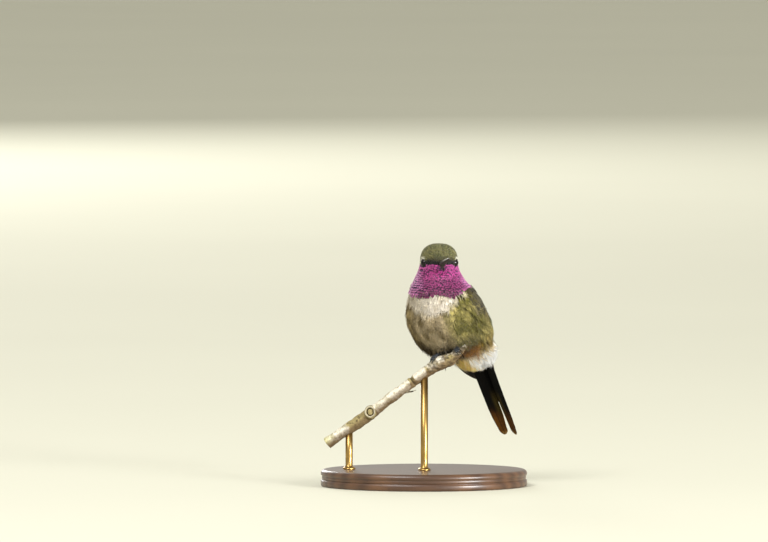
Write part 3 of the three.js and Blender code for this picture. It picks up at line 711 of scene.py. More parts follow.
def gorget_share(places):
    """1 in the gorget and 0 outside it. A narrow dark wedge under the bill is left out of it."""
    left, dorsal, cranial = head_parts(places)
    share = smooth(gorget_top(dorsal) + SCALES_RISE - cranial, -0.25, 0.25)
    share = share * smooth(cranial - gorget_foot(left), -0.25, 0.25) * smooth(dorsal, 3.3, 2.7)
    wedge = smooth(np.abs(left - 0.2), 1.0, 0.5) * smooth(cranial, -1.9, -0.8)
    return share * (1 - wedge * smooth(dorsal, -5.5, -6.5))


def band_share(places):
    """The white band on the breast, widest under the middle of the gorget."""
    left, _, cranial = head_parts(places)
    _, back, _ = body_parts(places)
    low = np.interp(left, [-10.5, -8.6, -7.2, -3.2, 0.0, 3.3, 6.0, 8.0],
                    [-10.2, -11.4, -13.6, -15.0, -13.8, -11.8, -9.2, -7.8])
    ragged = 1.6 * (mottle(places * [1, 1, 0.5], 1.1, 41) - 0.5)
    share = smooth(cranial + ragged, low - 1.3, low + 0.9) * smooth(back, 2.2, 0.6)
    # The white thins out towards the band's end on the bird's right side: painted shade.
    share = share * smooth(left, 7.9, 6.9) * (0.72 + 0.28 * smooth(left, -8.0, -5.5))
    return share * smooth(cranial - gorget_foot(left), 1.4, 0.2)


def eye_frame(side):
    """The eye's middle, its axis, and the ways to the back and the top of its rim."""
    middle = EYES[side]
    axis = unit(outward(middle) - 0.12 * HEAD[1])
    back = unit(HEAD[1] - axis * (HEAD[1] @ axis))
    top = np.cross(axis, back) if side == "left" else np.cross(back, axis)
    return middle, axis, back, -top if (top @ HEAD[2]) < 0 else top


def eye_ring(places):
    """The arc of pale feathers behind and over each eye."""
    arc = 0.0
    for side in EYES:
        middle, _, back, top = eye_frame(side)
        behind = smooth((places - middle) @ back, 0.3, 1.5)
        off_ring = away(places, middle) - EYE_RING - 0.15 * behind
        rim = np.exp(-((off_ring / (0.3 + 0.06 * behind)) ** 2))
        arc = np.maximum(arc, rim * smooth((places - middle) @ (back + 0.7 * top), -0.5, 0.5))
    return arc


def coat_colour(places):
    """Colour of the plumage outside the gorget, at places near the outer form."""
    left, dorsal, cranial = head_parts(places)
    side, back, fore = body_parts(places)
    cloud = mottle(places, 2.1, 42)
    streak = mottle(places * [1, 1, 0.6], 1.4, 43)
    brown = mixed(FLANK_BROWN, FLANK_TAWNY, smooth(streak, 0.35, 0.75))
    green = mixed(FLANK_GREEN, FLANK_LIME, smooth(streak, 0.3, 0.7))
    green = green * (0.86 + 0.28 * smooth(fore, 1.0, 6.0))[..., None]
    green = mixed(green, VENT_RUFOUS, 0.35 * smooth(fore, -3.0, -8.0))
    rufous = smooth(np.hypot(side - 8.0, fore + 7.4), 3.8, 1.8) * smooth(back, -1.0, -3.0)
    bronze = mixed(BACK_BRONZE, BACK_GREEN, smooth(cloud, 0.3, 0.7))
    wing_top = mixed(SCAPULAR_BROWN, SCAPULAR_BUFF, smooth(streak, 0.45, 0.8))
    at_wing = smooth(np.abs(side), 6.0, 7.6) * smooth(back, 1.6, 3.2) * smooth(fore, -2.5, 0.5)
    colour = layered(BELLY_OLIVE, (BELLY_GREY, smooth(0.5 * cloud + 0.5 * streak, 0.26, 0.68)),
                     (brown, 0.85 * smooth(side, -2.5, -6.5)),
                     # The lower belly darkened: painted shade.
                     (BELLY_UNDERSIDE_SHADE, 0.85 * smooth(fore, 1.5, -4.5) * smooth(side, 8.4, 6.4)),
                     (green, smooth(side, 5.0, 8.6) * smooth(fore, -11.0, -8.0)),
                     (VENT_BUFF, smooth(fore, -8.5, -11.0)), (VENT_RUFOUS, 0.85 * rufous),
                     (bronze, smooth(back, 2.6, 4.6) * smooth(cranial, -2.0, -5.0)),
                     (wing_top, at_wing * smooth(cranial, -5.0, -7.0)))
    # Darker where the coat lies close over the twig: painted shadow.
    by_twig = np.min([away(places, knot) for knot in TWIG_LINE[:120:6]], axis=0)
    colour = colour * (1 - 0.6 * smooth(by_twig, 3.4, 1.6) * smooth(fore, -9.0, -6.0))[..., None]
    tuft = smooth(np.abs(side - 0.9), 1.9, 4.3) * smooth(fore, -9.2, -11.2) * smooth(back, 5.6, 4.4)
    band = band_share(places)
    white = mixed(BREAST_CREAM, BREAST_WHITE, smooth(streak, 0.2, 0.6))
    crown = layered(CROWN_GREEN, (CROWN_OLIVE, smooth(mottle(places, 0.7, 44), 0.2, 0.7)),
                    (BROW_BROWN, smooth(dorsal, -3.2, -5.6) * smooth(cranial, 3.8, 1.2)))
    line = smooth(np.abs(cranial - 0.6 - 0.06 * np.abs(left)), 0.9, 0.4) * smooth(dorsal, -1.2, -2.2)
    wedge = smooth(np.abs(left - 0.2), 1.3, 0.6) * smooth(cranial, -2.0, -0.9)
    lores = np.maximum(line, wedge * smooth(cranial, 1.2, 0.6) * smooth(dorsal, -5.5, -6.5))
    return layered(colour, (TUFT_WHITE, tuft), (white, band),
                   (crown, smooth(cranial, -8.0, -5.0) * (1 - band)), (LORE_BLACK, lores),
                   (RING_PALE, eye_ring(places)))


def gorget_colour(places):
    """Colour of the scales of the throat: magenta, with iridescent sheen painted on as pink at the top,
    plum lower down, lilac at the sides and a brighter left side.
    """
    left, _, cranial = head_parts(places)
    patch = 0.45 * (mottle(places, 2.4, 46) - 0.5)
    rose = layered(GORGET_PINK, (GORGET_ROSE, smooth(cranial, -1.5, -5.0)),
                   (GORGET_PLUM, smooth(cranial, -5.5, -9.0)),
                   (GORGET_LILAC, 0.8 * smooth(np.abs(left - 0.3) / 7.5 + patch, 0.62, 1.1)))
    # Brighter on the left side: painted sheen.
    return rose * (0.95 + 0.14 * smooth(left, 2.5, 7.5))[..., None]


def markings(places):
    """Colour of the whole plumage, in linear red, green and blue."""
    return mixed(coat_colour(places), gorget_colour(places), gorget_share(places))


def lid(side):
    """The puckered rim of skin round an eye, with a row of small beads along its edge."""
    middle, axis, back, top = eye_frame(side)
    angle = all_round(LID_ROUND)
    opening = LID_OPENING * (1 + 0.1 * np.abs(np.cos(angle)) ** 3)
    beads = 0.04 * np.abs(np.sin(13 * angle))
    rings = []
    for spread, rise, share in [(0.0, -0.06, 0), (0.0, 0.05, 0), (0.05, 0.12, 1), (0.13, 0.14, 1),
                                (0.22, 0.09, 0.4), (0.34, 0.06, 0), (0.6, 0.0, 0), (0.95, 0.0, 0)]:
        radius = opening + spread
        dome = np.sqrt(np.clip((EYE_RADIUS + rise) ** 2 - radius**2, 0.0, None))
        slope = 0.62 - 0.5 * np.clip(radius - 1.3, 0, None)
        high = np.maximum(dome, slope) + beads * share
        ring = back * np.cos(angle)[:, None] + top * np.sin(angle)[:, None]
        rings.append(middle + axis * high[:, None] + ring * radius[:, None])
    places = np.concatenate(rings)
    faces = grid_faces(len(rings), LID_ROUND)
    first = places[faces[0]]
    if np.cross(first[1] - first[0], first[3] - first[0]) @ (first[0] - middle) > 0:
        faces = faces[:, ::-1]
    return places, [faces], np.broadcast_to(linear(LID_SLATE), places.shape)


OUTER = form_grid()
OUTER_WAYS = outward(OUTER)


def bare_skin():
    """The skin under the whole coat, with a socket and a low rim round each eye."""
    depth = coat_depth(OUTER)
    for side in EYES:
        middle, axis, _, _ = eye_frame(side)
        out = (OUTER - middle) @ axis
        from_axis = away(OUTER, middle + axis * out[..., None])
        near = smooth(out, -1.0, 0.0)
        depth = depth + near * (0.7 * smooth(from_axis, 1.35, 1.0)
                                - 0.15 * np.exp(-(((from_axis - 1.9) / 0.35) ** 2)))
    pits = 0.05 * (mottle(OUTER, 0.5, 45) - 0.5)
    places, faces = capped(OUTER - OUTER_WAYS * (depth + pits)[..., None])
    colours = mixed(markings(OUTER.reshape(-1, 3)), SKIN_ROSE, 0.12) * 0.6
    return places, faces, np.vstack([colours, colours[:1], colours[-1:]])


# Skin with down on it: matt, in the coat's own colours but darker, with pits 0.5 mm apart.
DOWNY_SKIN = new_material("downy_skin")
stain = add(DOWNY_SKIN, "ShaderNodeAttribute", attribute_name="plumage").outputs["Color"]
pit = grain(DOWNY_SKIN, PIT_SIZE, 3.0)
relief = add(DOWNY_SKIN, "ShaderNodeBump", {"Height": pit, "Strength": 0.6, "Distance": 0.1 / 1000})
finish(DOWNY_SKIN, {"Base Color": speckled(DOWNY_SKIN, stain, pit, 0.6, 1.2), "Roughness": 0.95,
                    "Sheen Weight": 0.2, "Normal": relief.outputs[0]})
places, faces, colours = gathered([bare_skin(), lid("left"), lid("right")])
build("skin", places, faces, DOWNY_SKIN, "plumage_grey",
      ["head", "neck", "breast", "belly", "rump"], {"plumage": colours})

# ---------- Eyes ----------
# Large, round and almost black. Each is blown glass, painted dark brown round a black pupil on the
# inside, with a clear bulge over it like a live cornea.
PUPIL_RADIUS, IRIS_RADIUS, CORNEA_BULGE = 0.72, 1.12, 0.12
EYE_ROWS, EYE_ROUND, FLECK_SIZE = 41, 64, 0.33333
PUPIL_BLACK, IRIS_BROWN, RIM_BLACK = 0x030202, 0x190E07, 0x060404


def eyeball(side):
    """A ball with a bulged front, and the colours of its pupil, iris and rim."""
    middle, axis, back, top = eye_frame(side)
    polar = np.linspace(0, np.pi, EYE_ROWS)[1:-1]
    angle = all_round(EYE_ROUND)
    radius = EYE_RADIUS * np.sin(polar)
    bulge = CORNEA_BULGE * np.clip(1 - (radius / IRIS_RADIUS) ** 2, 0, None) ** 1.5 * (polar < 1.5)
    high = EYE_RADIUS * np.cos(polar) + bulge
    ring = back * np.cos(angle)[:, None] + top * np.sin(angle)[:, None]
    rings = middle + axis * high[:, None, None] + ring * radius[:, None, None]
    poles = [middle + axis * (EYE_RADIUS + CORNEA_BULGE), middle - axis * EYE_RADIUS]
    iris = layered(PUPIL_BLACK, (IRIS_BROWN, smooth(radius, PUPIL_RADIUS - 0.05, PUPIL_RADIUS + 0.08)),
                   (RIM_BLACK, smooth(radius, IRIS_RADIUS - 0.2, IRIS_RADIUS)))
    iris = np.where((polar < 1.5)[:, None], iris, linear(RIM_BLACK))
    colours = np.vstack([np.repeat(iris, EYE_ROUND, axis=0), linear(PUPIL_BLACK), linear(RIM_BLACK)])
    return (*capped(rings, poles), colours)


# Painted glass: a deep black-brown under a hard wet gloss, with flecks of pigment 0.3 mm across.
EYE_GLASS = new_material("painted_glass")
stain = add(EYE_GLASS, "ShaderNodeAttribute", attribute_name="iris").outputs["Color"]
flecks = grain(EYE_GLASS, FLECK_SIZE)
finish(EYE_GLASS, {"Base Color": speckled(EYE_GLASS, stain, flecks, 0.7, 1.3), "Roughness": 0.12,
                   "IOR": 1.4, "Specular IOR Level": 0.4})
for side in EYES:
    places, faces, colours = eyeball(side)
    build("eyeball_" + side, places, faces, EYE_GLASS, "eye_glass", ["eye_" + side],
          {"iris": colours})

# ---------- Bill ----------
# Two straight slender halves of black horn that close along the gape line. The upper one has a low
# ridge and a swelling over each nostril slit, and overlaps the lower one at the tip.
BILL_ROOT = on_head(0.1, -5.0, 0.2)
BILL_WAY = unit(-HEAD[1] + 0.06 * HEAD[0] + 0.175 * HEAD[2])
BILL_LENGTH, BILL_INSIDE, BILL_RADIUS, BILL_SEAM, BILL_GAP = 13.0, 3.0, 1.05, -0.12, 0.015
BILL_ROWS, BILL_ROUND, HORN_LINES = 150, 40, 0.19231
# The palest horn colour is a painted highlight streak on the upper half of the bill.
HORN_BLACK, HORN_BROWN, HORN_PAINTED_HIGHLIGHT = 0x201D1D, 0x4E4845, 0xCDC9C1


def bill_half(upper):
    """One half of the bill: a domed back over a nearly flat inner face. Upper is 1 or 0."""
    share = np.linspace(0, 1, BILL_ROWS)
    length = (BILL_INSIDE + BILL_LENGTH) * (0.992 + 0.008 * upper)
    radius = BILL_RADIUS * (0.3 + 0.7 * (1 - share) ** 0.8)
    radius = radius * np.sqrt(np.clip(1 - smooth(share, 0.93, 1.0) ** 2 * 0.93, 0, 1))
    angle = all_round(BILL_ROUND)
    from_top = np.abs(angle - np.pi / 2)
    rise = np.sin(angle)
    dome = np.clip(rise, 0, None) ** 0.85 * (0.7 + 0.28 * upper) + np.clip(rise, None, 0) * 0.03
    wide = np.cos(angle) * (0.93 + 0.07 * upper)
    ridge = 0.08 * upper * np.exp(-((from_top / 0.28) ** 2))
    groove = -0.1 * np.exp(-(((from_top - 0.95) / 0.16) ** 2))
    swell = 0.1 * np.exp(-(((from_top - 0.62) / 0.24) ** 2))
    nostril = smooth(share, 0.2, 0.25) * smooth(share, 0.5, 0.36)
    at_nostril = nostril[:, None] * (groove + swell) * upper
    high = radius[:, None] * (dome + ridge + at_nostril * np.sign(np.maximum(rise, 0)))
    across = radius[:, None] * wide * (1 + at_nostril)
    turn = 2 * upper - 1
    up = unit(HEAD[2] - BILL_WAY * (HEAD[2] @ BILL_WAY))
    middle = BILL_ROOT + BILL_WAY * (share * length)[:, None] + up * (BILL_SEAM + turn * BILL_GAP)
    rings = middle[:, None] + HEAD[0] * across[..., None] + up * (turn * high)[..., None]
    # A pale streak on the right flank of the upper half, towards the tip: a painted highlight.
    wear_and_painted_highlight = 0.85 * upper * np.exp(-(((angle - 2.55) / 0.36) ** 2)) * smooth(share, 0.35, 0.7)[:, None]
    return (*capped(rings), np.append(wear_and_painted_highlight, [0, 0]))


def horn(name, specular, roughness):
    """Black horn with a brown cast, lines 0.2 mm apart along it, and a pale streak that is a painted
    highlight.
    """
    material = new_material(name)
    lines = grain(material, HORN_LINES, 3.0, (1.0, 0.06, 1.0))
    tint = add(material, "ShaderNodeMix", {0: lines, 6: paint(HORN_BLACK), 7: paint(HORN_BROWN)},
               data_type="RGBA")
    wear_and_painted_highlight = add(material, "ShaderNodeAttribute", attribute_name="wear_and_painted_highlight").outputs["Fac"]
    tint = add(material, "ShaderNodeMix", {0: wear_and_painted_highlight, 6: tint.outputs[2], 7: paint(HORN_PAINTED_HIGHLIGHT)},
               data_type="RGBA")
    gloss = add(material, "ShaderNodeMapRange", {"Value": lines, "To Min": roughness,
                                                 "To Max": roughness + 0.12})
    relief = add(material, "ShaderNodeBump", {"Height": lines, "Strength": 0.25,
                                              "Distance": 0.04 / 1000})
    finish(material, {"Base Color": tint.outputs[2], "Roughness": gloss.outputs[0],
                      "Specular IOR Level": specular, "Normal": relief.outputs[0]})
    return material


# The upper half is polished and gives a hard highlight. The lower one lies in shade and is dull.
for upper, half, material in ((1, "upper", horn("polished_horn", 0.5, 0.24)),
                              (0, "lower", horn("dull_horn", 0.1, 0.75))):
    places, faces, wear_and_painted_highlight = bill_half(upper)
    build("bill_half_" + half, places, faces, material, "horn", ["bill_" + half], {"wear_and_painted_highlight": wear_and_painted_highlight})

# ---------- Wings ----------
# Folded wings: ten stiff primaries that taper to the tip over the tail, six short secondaries, and
# rows of coverts like shingles over their roots. The shafts are horn and the webs zipped barbs.
WING_KNOTS = [(9.0, 2.6, 9.5), (11.2, 4.2, 4.0), (11.4, 5.4, -2.0), (9.6, 6.2, -8.0),
              (6.6, 6.2, -14.0), (4.4, 5.8, -20.3), (2.8, 6.3, -26.2)]
WING_WIDTHS = [3.0, 7.8, 8.8, 8.8, 7.8, 6.6, 1.4]
WING_SIDES = {"left": 1, "right": -1}
WING_LINES = {side: curve_through([on_body(side * out, dorsal, cranial)
                                   for out, dorsal, cranial in WING_KNOTS], 241)
              for side in WING_SIDES.values()}
WING_LIFT, DOWN_FLECK = 0.4, 0.55556
TIP_DRAWN_IN = {1: 0.5, -1: 0.0}
PRIMARIES, SECONDARIES = 10, 6
QUILL_BROWN, QUILL_EDGE, QUILL_SHAFT = 0x1C1713, 0x5C4C38, 0x0D0A08
COVERT_BROWN, COVERT_OLIVE, COVERT_EDGE = 0x2E2619, 0x575030, 0xA89A70


def wing_place(side, share, across, height):
    """Places over a folded wing and the way it faces there. Share runs from the bend to the tip,
    and across from -0.5 at the leading edge to 0.5 at the edge on the back."""
    line = WING_LINES[side]
    at = np.clip(share, 0, 1) * (len(line) - 1)
    first = np.minimum(at.astype(int), len(line) - 2)
    middle = mixed(line[first], line[first + 1], at - first)
    way = unit(line[first + 1] - line[first])
    turn = 0.5 * smooth(share, 0.2, 0.9)[..., None]
    inward = BODY[1] * (1 - turn) - BODY[0] * (side * turn)
    inward = unit(inward - way * np.sum(inward * way, axis=-1, keepdims=True))
    width = np.interp(share, np.linspace(0, 1, len(WING_WIDTHS)), WING_WIDTHS)
    hold = 1 - smooth(share, 0.55, 0.8)[..., None]
    places = middle + inward * (across * width)[..., None]
    for _ in range(4):
        places = places + outward(places) * (WING_LIFT - form(places))[..., None] * hold
    facing = unit(side * np.cross(way, inward) * (1 - hold) + outward(places) * hold)
    return places + facing * np.broadcast_to(height, share.shape)[..., None], facing


def sampled(line, facing, steps):
    """Places on lines, the way they face and the way across, at numbers of steps along each."""
    first = np.minimum(steps.astype(int), line.shape[1] - 2)
    part = (steps - first)[..., None]
    each = np.arange(len(line))[:, None, None]
    side = np.cross(unit(np.gradient(line, axis=1)), facing)
    return (values[each, first] * (1 - part) + values[each, first + 1] * part
            for values in (line, facing, side))


def vanes(line, facing, half_width, outline, reach, lift, camber, thickness, rows, ridge=0.0):
    """Thin closed vanes along lines: half width, outline along the vane, how far each column of
    barbs reaches, height over the line, droop of the edges, half thickness and the shaft's ridge."""
    count, columns = len(line), reach.shape[1] - 1
    across = np.linspace(-1, 1, columns + 1)
    share = np.linspace(0, 1, rows + 1)
    at = share[None, :, None] * reach[:, None, :]
    middle, out, aside = sampled(line, facing, at * (line.shape[1] - 1))
    out, aside = unit(out), unit(aside)
    x = across * half_width[:, None, None] * outline(at)
    droop = camber * x**2 / half_width[:, None, None]
    shaft = ridge * (np.abs(across) < 0.01) * (1 - 0.8 * at)
    body = middle + aside * x[..., None] + out * (lift(at) - droop + shaft)[..., None]
    swell = thickness * (1 - across**2) * np.sin(np.pi * np.clip(share, 0.08, 0.9))[:, None]
    upper = body + out * swell[..., None]
    lower = (body - out * swell[..., None])[:, 1:-1, 1:-1]
    top = np.arange((rows + 1) * (columns + 1)).reshape(rows + 1, columns + 1)
    base = top.copy()
    base[1:-1, 1:-1] = top.size + np.arange((rows - 1) * (columns - 1)).reshape(rows - 1, -1)
    upper_quads, lower_quads = (np.stack([ids[:-1, :-1], ids[:-1, 1:], ids[1:, 1:], ids[1:, :-1]],
                                         axis=-1).reshape(-1, 4) for ids in (top, base))

    def spread(values):
        values = np.broadcast_to(values, (count, rows + 1, columns + 1))
        inner = values[:, 1:-1, 1:-1].reshape(count, -1)
        return np.concatenate([values.reshape(count, -1), inner], axis=1)

    places = np.concatenate([upper.reshape(count, -1, 3), lower.reshape(count, -1, 3)], axis=1)
    template = [np.vstack([upper_quads, lower_quads[:, ::-1]])]
    return places, template, spread(across[None, None]), spread(at)


def rounded_reach(count, columns, roundness, raggedness):
    """How far each column of barbs reaches: furthest at the shaft, with a ragged fringe."""
    across = np.abs(np.linspace(-1, 1, columns + 1))
    ragged = 1 - raggedness * draw.random((count, columns + 1))
    return (1 - roundness * across**2.3) * ragged


def blade_outline(at):
    """A flight feather: narrow at the root, long and even, and tapered at the tip."""
    return (0.5 + 0.5 * smooth(at, 0.0, 0.25)) * (1 - 0.24 * smooth(at, 0.75, 1.0))


def barbed(name, inputs, length, barb_gap, slant, depth):
    """A feather's web: the plumage colour, flecked at 0.6 mm and crossed by slanting barbs in a soft
    relief. Length is the feather's. Real barbs lie 0.05 mm apart, and barb_gap is drawn coarser, so
    that they show."""
    material = new_material(name)
    barb_map = add(material, "ShaderNodeUVMap", uv_map="barbs")
    place = add(material, "ShaderNodeSeparateXYZ", {0: barb_map.outputs[0]})
    from_shaft = add(material, "ShaderNodeMath", {0: place.outputs[0]}, operation="ABSOLUTE")
    back = add(material, "ShaderNodeMath", {0: from_shaft.outputs[0], 1: slant},
               operation="MULTIPLY")
    run = add(material, "ShaderNodeMath", {0: place.outputs[1], 1: back.outputs[0]},
              operation="SUBTRACT")
    turns = add(material, "ShaderNodeMath", {0: run.outputs[0], 1: 2 * np.pi * length / barb_gap},
                operation="MULTIPLY")
    wave = add(material, "ShaderNodeMath", {0: turns.outputs[0]}, operation="SINE").outputs[0]
    stain = add(material, "ShaderNodeAttribute", attribute_name="plumage").outputs["Color"]
    flecked = speckled(material, stain, grain(material, DOWN_FLECK, 3.0), 0.86, 1.12, 0.3, 0.7)
    relief = add(material, "ShaderNodeBump", {"Height": wave, "Strength": 0.5,
                                              "Distance": depth / 1000})
    finish(material, {"Base Color": speckled(material, flecked, wave, 0.9, 1.04, -1.0),
                      "Normal": relief.outputs[0], **inputs})
    return material


def web_colours(made, dark, edge, edge_share):
    """Dark webs with paler outer edges and a dark shaft."""
    _, _, across, at = made
    rim = smooth(np.abs(across), 0.66, 0.95) * smooth(at, 0.1, 0.4)
    return layered(dark, (edge, edge_share * rim), (edge, 0.8 * edge_share * smooth(at, 0.9, 0.98)),
                   (QUILL_SHAFT, smooth(np.abs(across), 0.14, 0.05)))


def repeated(template, places):
    """The faces of one feather, repeated for each feather of many like ones."""
    first = places.shape[1] * np.arange(len(places))[:, None, None]
    return [(group + first).reshape(-1, group.shape[1]) for group in template]


def long_feathers(name, material, made, colours, replaced):
    """Builds long feathers as one piece. Each has a strip of the map for itself."""
    places, template, across, at = made
    count = len(places)
    strip = (np.arange(count)[:, None] + 0.5 + 0.46 * across) / count
    flat = {"OFBake": np.stack([strip, 0.01 + 0.97 * at], axis=-1).reshape(-1, 2),
            "barbs": np.stack([across, at], axis=-1).reshape(-1, 2)}
    build(name, places.reshape(-1, 3), repeated(template, places), material, "flight_feather",
          replaced, {"plumage": colours.reshape(-1, 3)}, flat)


def wing_feathers(side, roots, tips, heights, half_widths, roundness, ragged, rows):
    """Feathers of a wing that run from roots to tips, both as shares along and places across."""
    part = np.linspace(0, 1, 15)
    share = roots[:, :1] + (tips - roots)[:, :1] * part
    across = roots[:, 1:] + (tips - roots)[:, 1:] * part**1.3
    drawn_in = TIP_DRAWN_IN[side] * smooth(share, 0.6, 0.9)
    raised = heights[:, None] * (0.2 + 0.8 * smooth(share, 0.02, 0.2))
    line, facing = wing_place(side, share, across, raised - drawn_in)
    return vanes(line, facing, half_widths, blade_outline,
                 rounded_reach(len(roots), 10, roundness, ragged), lambda at: 0 * at,
                 camber=0.12, thickness=0.04, rows=rows, ridge=0.05)


def quills(side):
    """Primaries from the leading edge inwards, then secondaries, each over the one before."""
    outer, inner = np.arange(PRIMARIES), np.arange(SECONDARIES)
    roots = np.vstack([np.stack([0.1 + 0.018 * outer, -0.38 + 0.05 * outer], axis=1),
                       np.stack([0.13 + 0.02 * inner, 0.1 + 0.05 * inner], axis=1)])
    tips = np.vstack([np.stack([0.995 - 0.034 * outer, -0.36 + 0.075 * outer], axis=1),
                      np.stack([0.64 - 0.04 * inner, 0.2 + 0.03 * inner], axis=1)])
    heights = np.concatenate([0.035 * outer, 0.36 + 0.035 * inner])
    widths = np.concatenate([1.25 + 0.04 * outer, np.full(SECONDARIES, 1.6)])
    made = wing_feathers(side, roots, tips, heights, widths, 0.07, 0.008, 26)
    return made, web_colours(made, QUILL_BROWN, QUILL_EDGE, 0.55)


def coverts(side):
    """Greater, median and lesser coverts, shorter and paler edged towards the bend of the wing."""
    rows = [(13, 0.12, 0.17, 0.58, 1.0), (12, 0.085, 0.15, 0.66, 0.9), (11, 0.06, 0.12, 0.74, 0.8),
            (10, 0.035, 0.1, 0.8, 0.75), (8, 0.015, 0.08, 0.86, 0.7)]
    roots, tips, heights, widths = [], [], [], []
    for count, share, length, height, width in rows:
        across = np.linspace(-0.46, 0.46, count) + draw.normal(0, 0.012, count)
        start = share + 0.012 * draw.random(count) + 0.03 * (across + 0.5)
        roots.append(np.stack([start, across], axis=1))
        tips.append(np.stack([start + length * (1.1 - 0.25 * (across + 0.5)), 0.9 * across], axis=1))
        heights.append(height + 0.05 * draw.random(count))
        widths.append(np.full(count, width))
    made = wing_feathers(side, np.vstack(roots), np.vstack(tips), np.concatenate(heights),
                         np.concatenate(widths), 0.2, 0.05, 12)
    count = len(made[0])
    dark = mixed(COVERT_BROWN, COVERT_OLIVE, draw.random(count))[:, None]
    return made, web_colours(made, dark, COVERT_EDGE, 0.8)


# Quills are blackish brown and satin, with hooked barbs. Coverts are softer, with olive edges.
FLIGHT_WEB = barbed("flight_feather_web", {"Roughness": 0.6, "Specular IOR Level": 0.2,
                                           "Sheen Weight": 0.05},
                    length=22.0, barb_gap=0.25, slant=0.08, depth=0.03)
COVERT_WEB = barbed("covert_feather_web", {"Roughness": 0.7, "Specular IOR Level": 0.2,
                                           "Sheen Weight": 0.1},
                    length=5.0, barb_gap=0.13, slant=0.25, depth=0.01)
for name, side in WING_SIDES.items():
    made, colours = quills(side)
    long_feathers("quills_" + name, FLIGHT_WEB, made, colours, ["wing_" + name])
    made, colours = coverts(side)
    long_feathers("coverts_" + name, COVERT_WEB, made, colours, [])

# ---------- Tail ----------
# Five pairs of tail feathers. The two outer pairs are long, narrow and black with rusty tips and make
# the fork. The three inner pairs are short, and lie over the roots of the long ones on the back.
TAIL_AT = np.array([18.2, 10.5, 35.4])
TAIL_WAY = unit(np.array([0.325, 0.45, -0.832]))
TAIL_SIDE = BODY[0] * [1, 1, 0] + [0, 0, 0.2]
TAIL_SIDE = unit(TAIL_SIDE - TAIL_WAY * (TAIL_SIDE @ TAIL_WAY))
TAIL_UP = np.cross(TAIL_SIDE, TAIL_WAY)
TAIL_DROOP, TAIL_HIDDEN, TAIL_LONG = np.radians(19), 6.0, 24.9
# Each pair's length past the coverts, height, half width, and its shaft's distance from the middle.
TAIL_PAIRS = [(25.2, -0.16, 1.62, [2.0, 2.1, 2.1, 2.1, 2.1, 1.85, 1.65]),
              (23.6, 0.02, 1.62, [1.4, 1.6, 1.6, 1.6, 1.6, 1.65, 1.8]),
              (14.4, 0.2, 1.3, [0.9, 1.05, 1.1, 1.1, 1.1, 1.1, 1.1]),
              (9.2, 0.5, 1.3, [1.4, 1.7, 1.8, 1.85, 1.9, 1.95, 2.0]),
              (8.2, 0.75, 1.3, [0.7, 0.9, 1.0, 1.0, 1.0, 1.0, 1.0])]
# How much further out the two long pairs lie on the left side, where the fork is opened wider.
TAIL_OPENED = [1.2, 1.1, 0.8, 0.6, 0.5, 0.6, 0.65]
TAIL_BLACK, TAIL_RUST, TAIL_TIP, TAIL_OLIVE = 0x060504, 0x5A370E, 0xA88248, 0x4C401A


def tail_half(side):
    """The feathers of one side of the tail, from the outermost inwards."""
    part = np.linspace(0, 1, 25)
    lines, widths = [], []
    for length, lift, half_width, outs in TAIL_PAIRS:
        distance = -TAIL_HIDDEN + (length + TAIL_HIDDEN) * part
        out = np.interp(part, np.linspace(0, 1, len(outs)), outs)
        if side == 1 and length > 20:
            out = out + np.interp(part, np.linspace(0, 1, len(outs)), TAIL_OPENED)
        lines.append(TAIL_AT + TAIL_WAY * distance[:, None]
                     + TAIL_SIDE * (side * out * np.cos(TAIL_DROOP))[:, None]
                     + TAIL_UP * (lift - out * np.sin(TAIL_DROOP))[:, None])
        widths.append(half_width)
    line = np.array(lines)
    face = TAIL_UP * np.cos(TAIL_DROOP) + TAIL_SIDE * side * np.sin(TAIL_DROOP)
    made = vanes(line, np.broadcast_to(face, line.shape), np.array(widths), blade_outline,
                 rounded_reach(len(line), 12, 0.045, 0.006), lambda at: -0.12 * at**2,
                 camber=0.1, thickness=0.05, rows=40, ridge=-0.05)
    places, _, across, at = made
    reach = np.array([pair[0] for pair in TAIL_PAIRS])[:, None]
    distance = -TAIL_HIDDEN + (reach + TAIL_HIDDEN) * at
    rust = smooth(distance / TAIL_LONG + 0.1 * mottle(places, 2.0, 60), 0.6, 0.88)
    inner = smooth(-side * across, 0.1, 0.9) * smooth(distance, 8, 13) * smooth(distance, 20, 15)
    return made, layered(TAIL_BLACK, (TAIL_RUST, rust), (TAIL_OLIVE, 0.8 * inner),
                         (TAIL_TIP, smooth(at, 0.95, 1.0) * rust),
                         (QUILL_SHAFT, 0.6 * smooth(np.abs(across), 0.14, 0.05)))


# Tail webs: stiff, black and nearly matt.
TAIL_WEB = barbed("tail_feather_web", {"Roughness": 0.7, "Specular IOR Level": 0.1},
                  length=28.0, barb_gap=0.25, slant=0.06, depth=0.03)
for name, side in WING_SIDES.items():
    made, colours = tail_half(side)
    long_feathers("tail_feathers_" + name, TAIL_WEB, made, colours,
                  ["tail_fork_" + name, "tail_middle"])

# ---------- Coat: crown and cheeks ----------
# Tiny stiff rounded feathers, olive green with paler rims, that lie back from the bill like scales.
# They are smallest round the bill and the eyes, where the lores are velvet black.
STEPS, VANE_STEPS = 9, 7
PATCH, PIECE_LIMIT, FOOT_SAG = 0.003, 180000, (0.3, 2.4, 2.2)
COVER_HEIGHT, SHOULDER_HEIGHT, ROOT_TRIES = 1.3, 1.35, 70000
TWIG_GAP, TWIG_STOPS = 0.2, 90


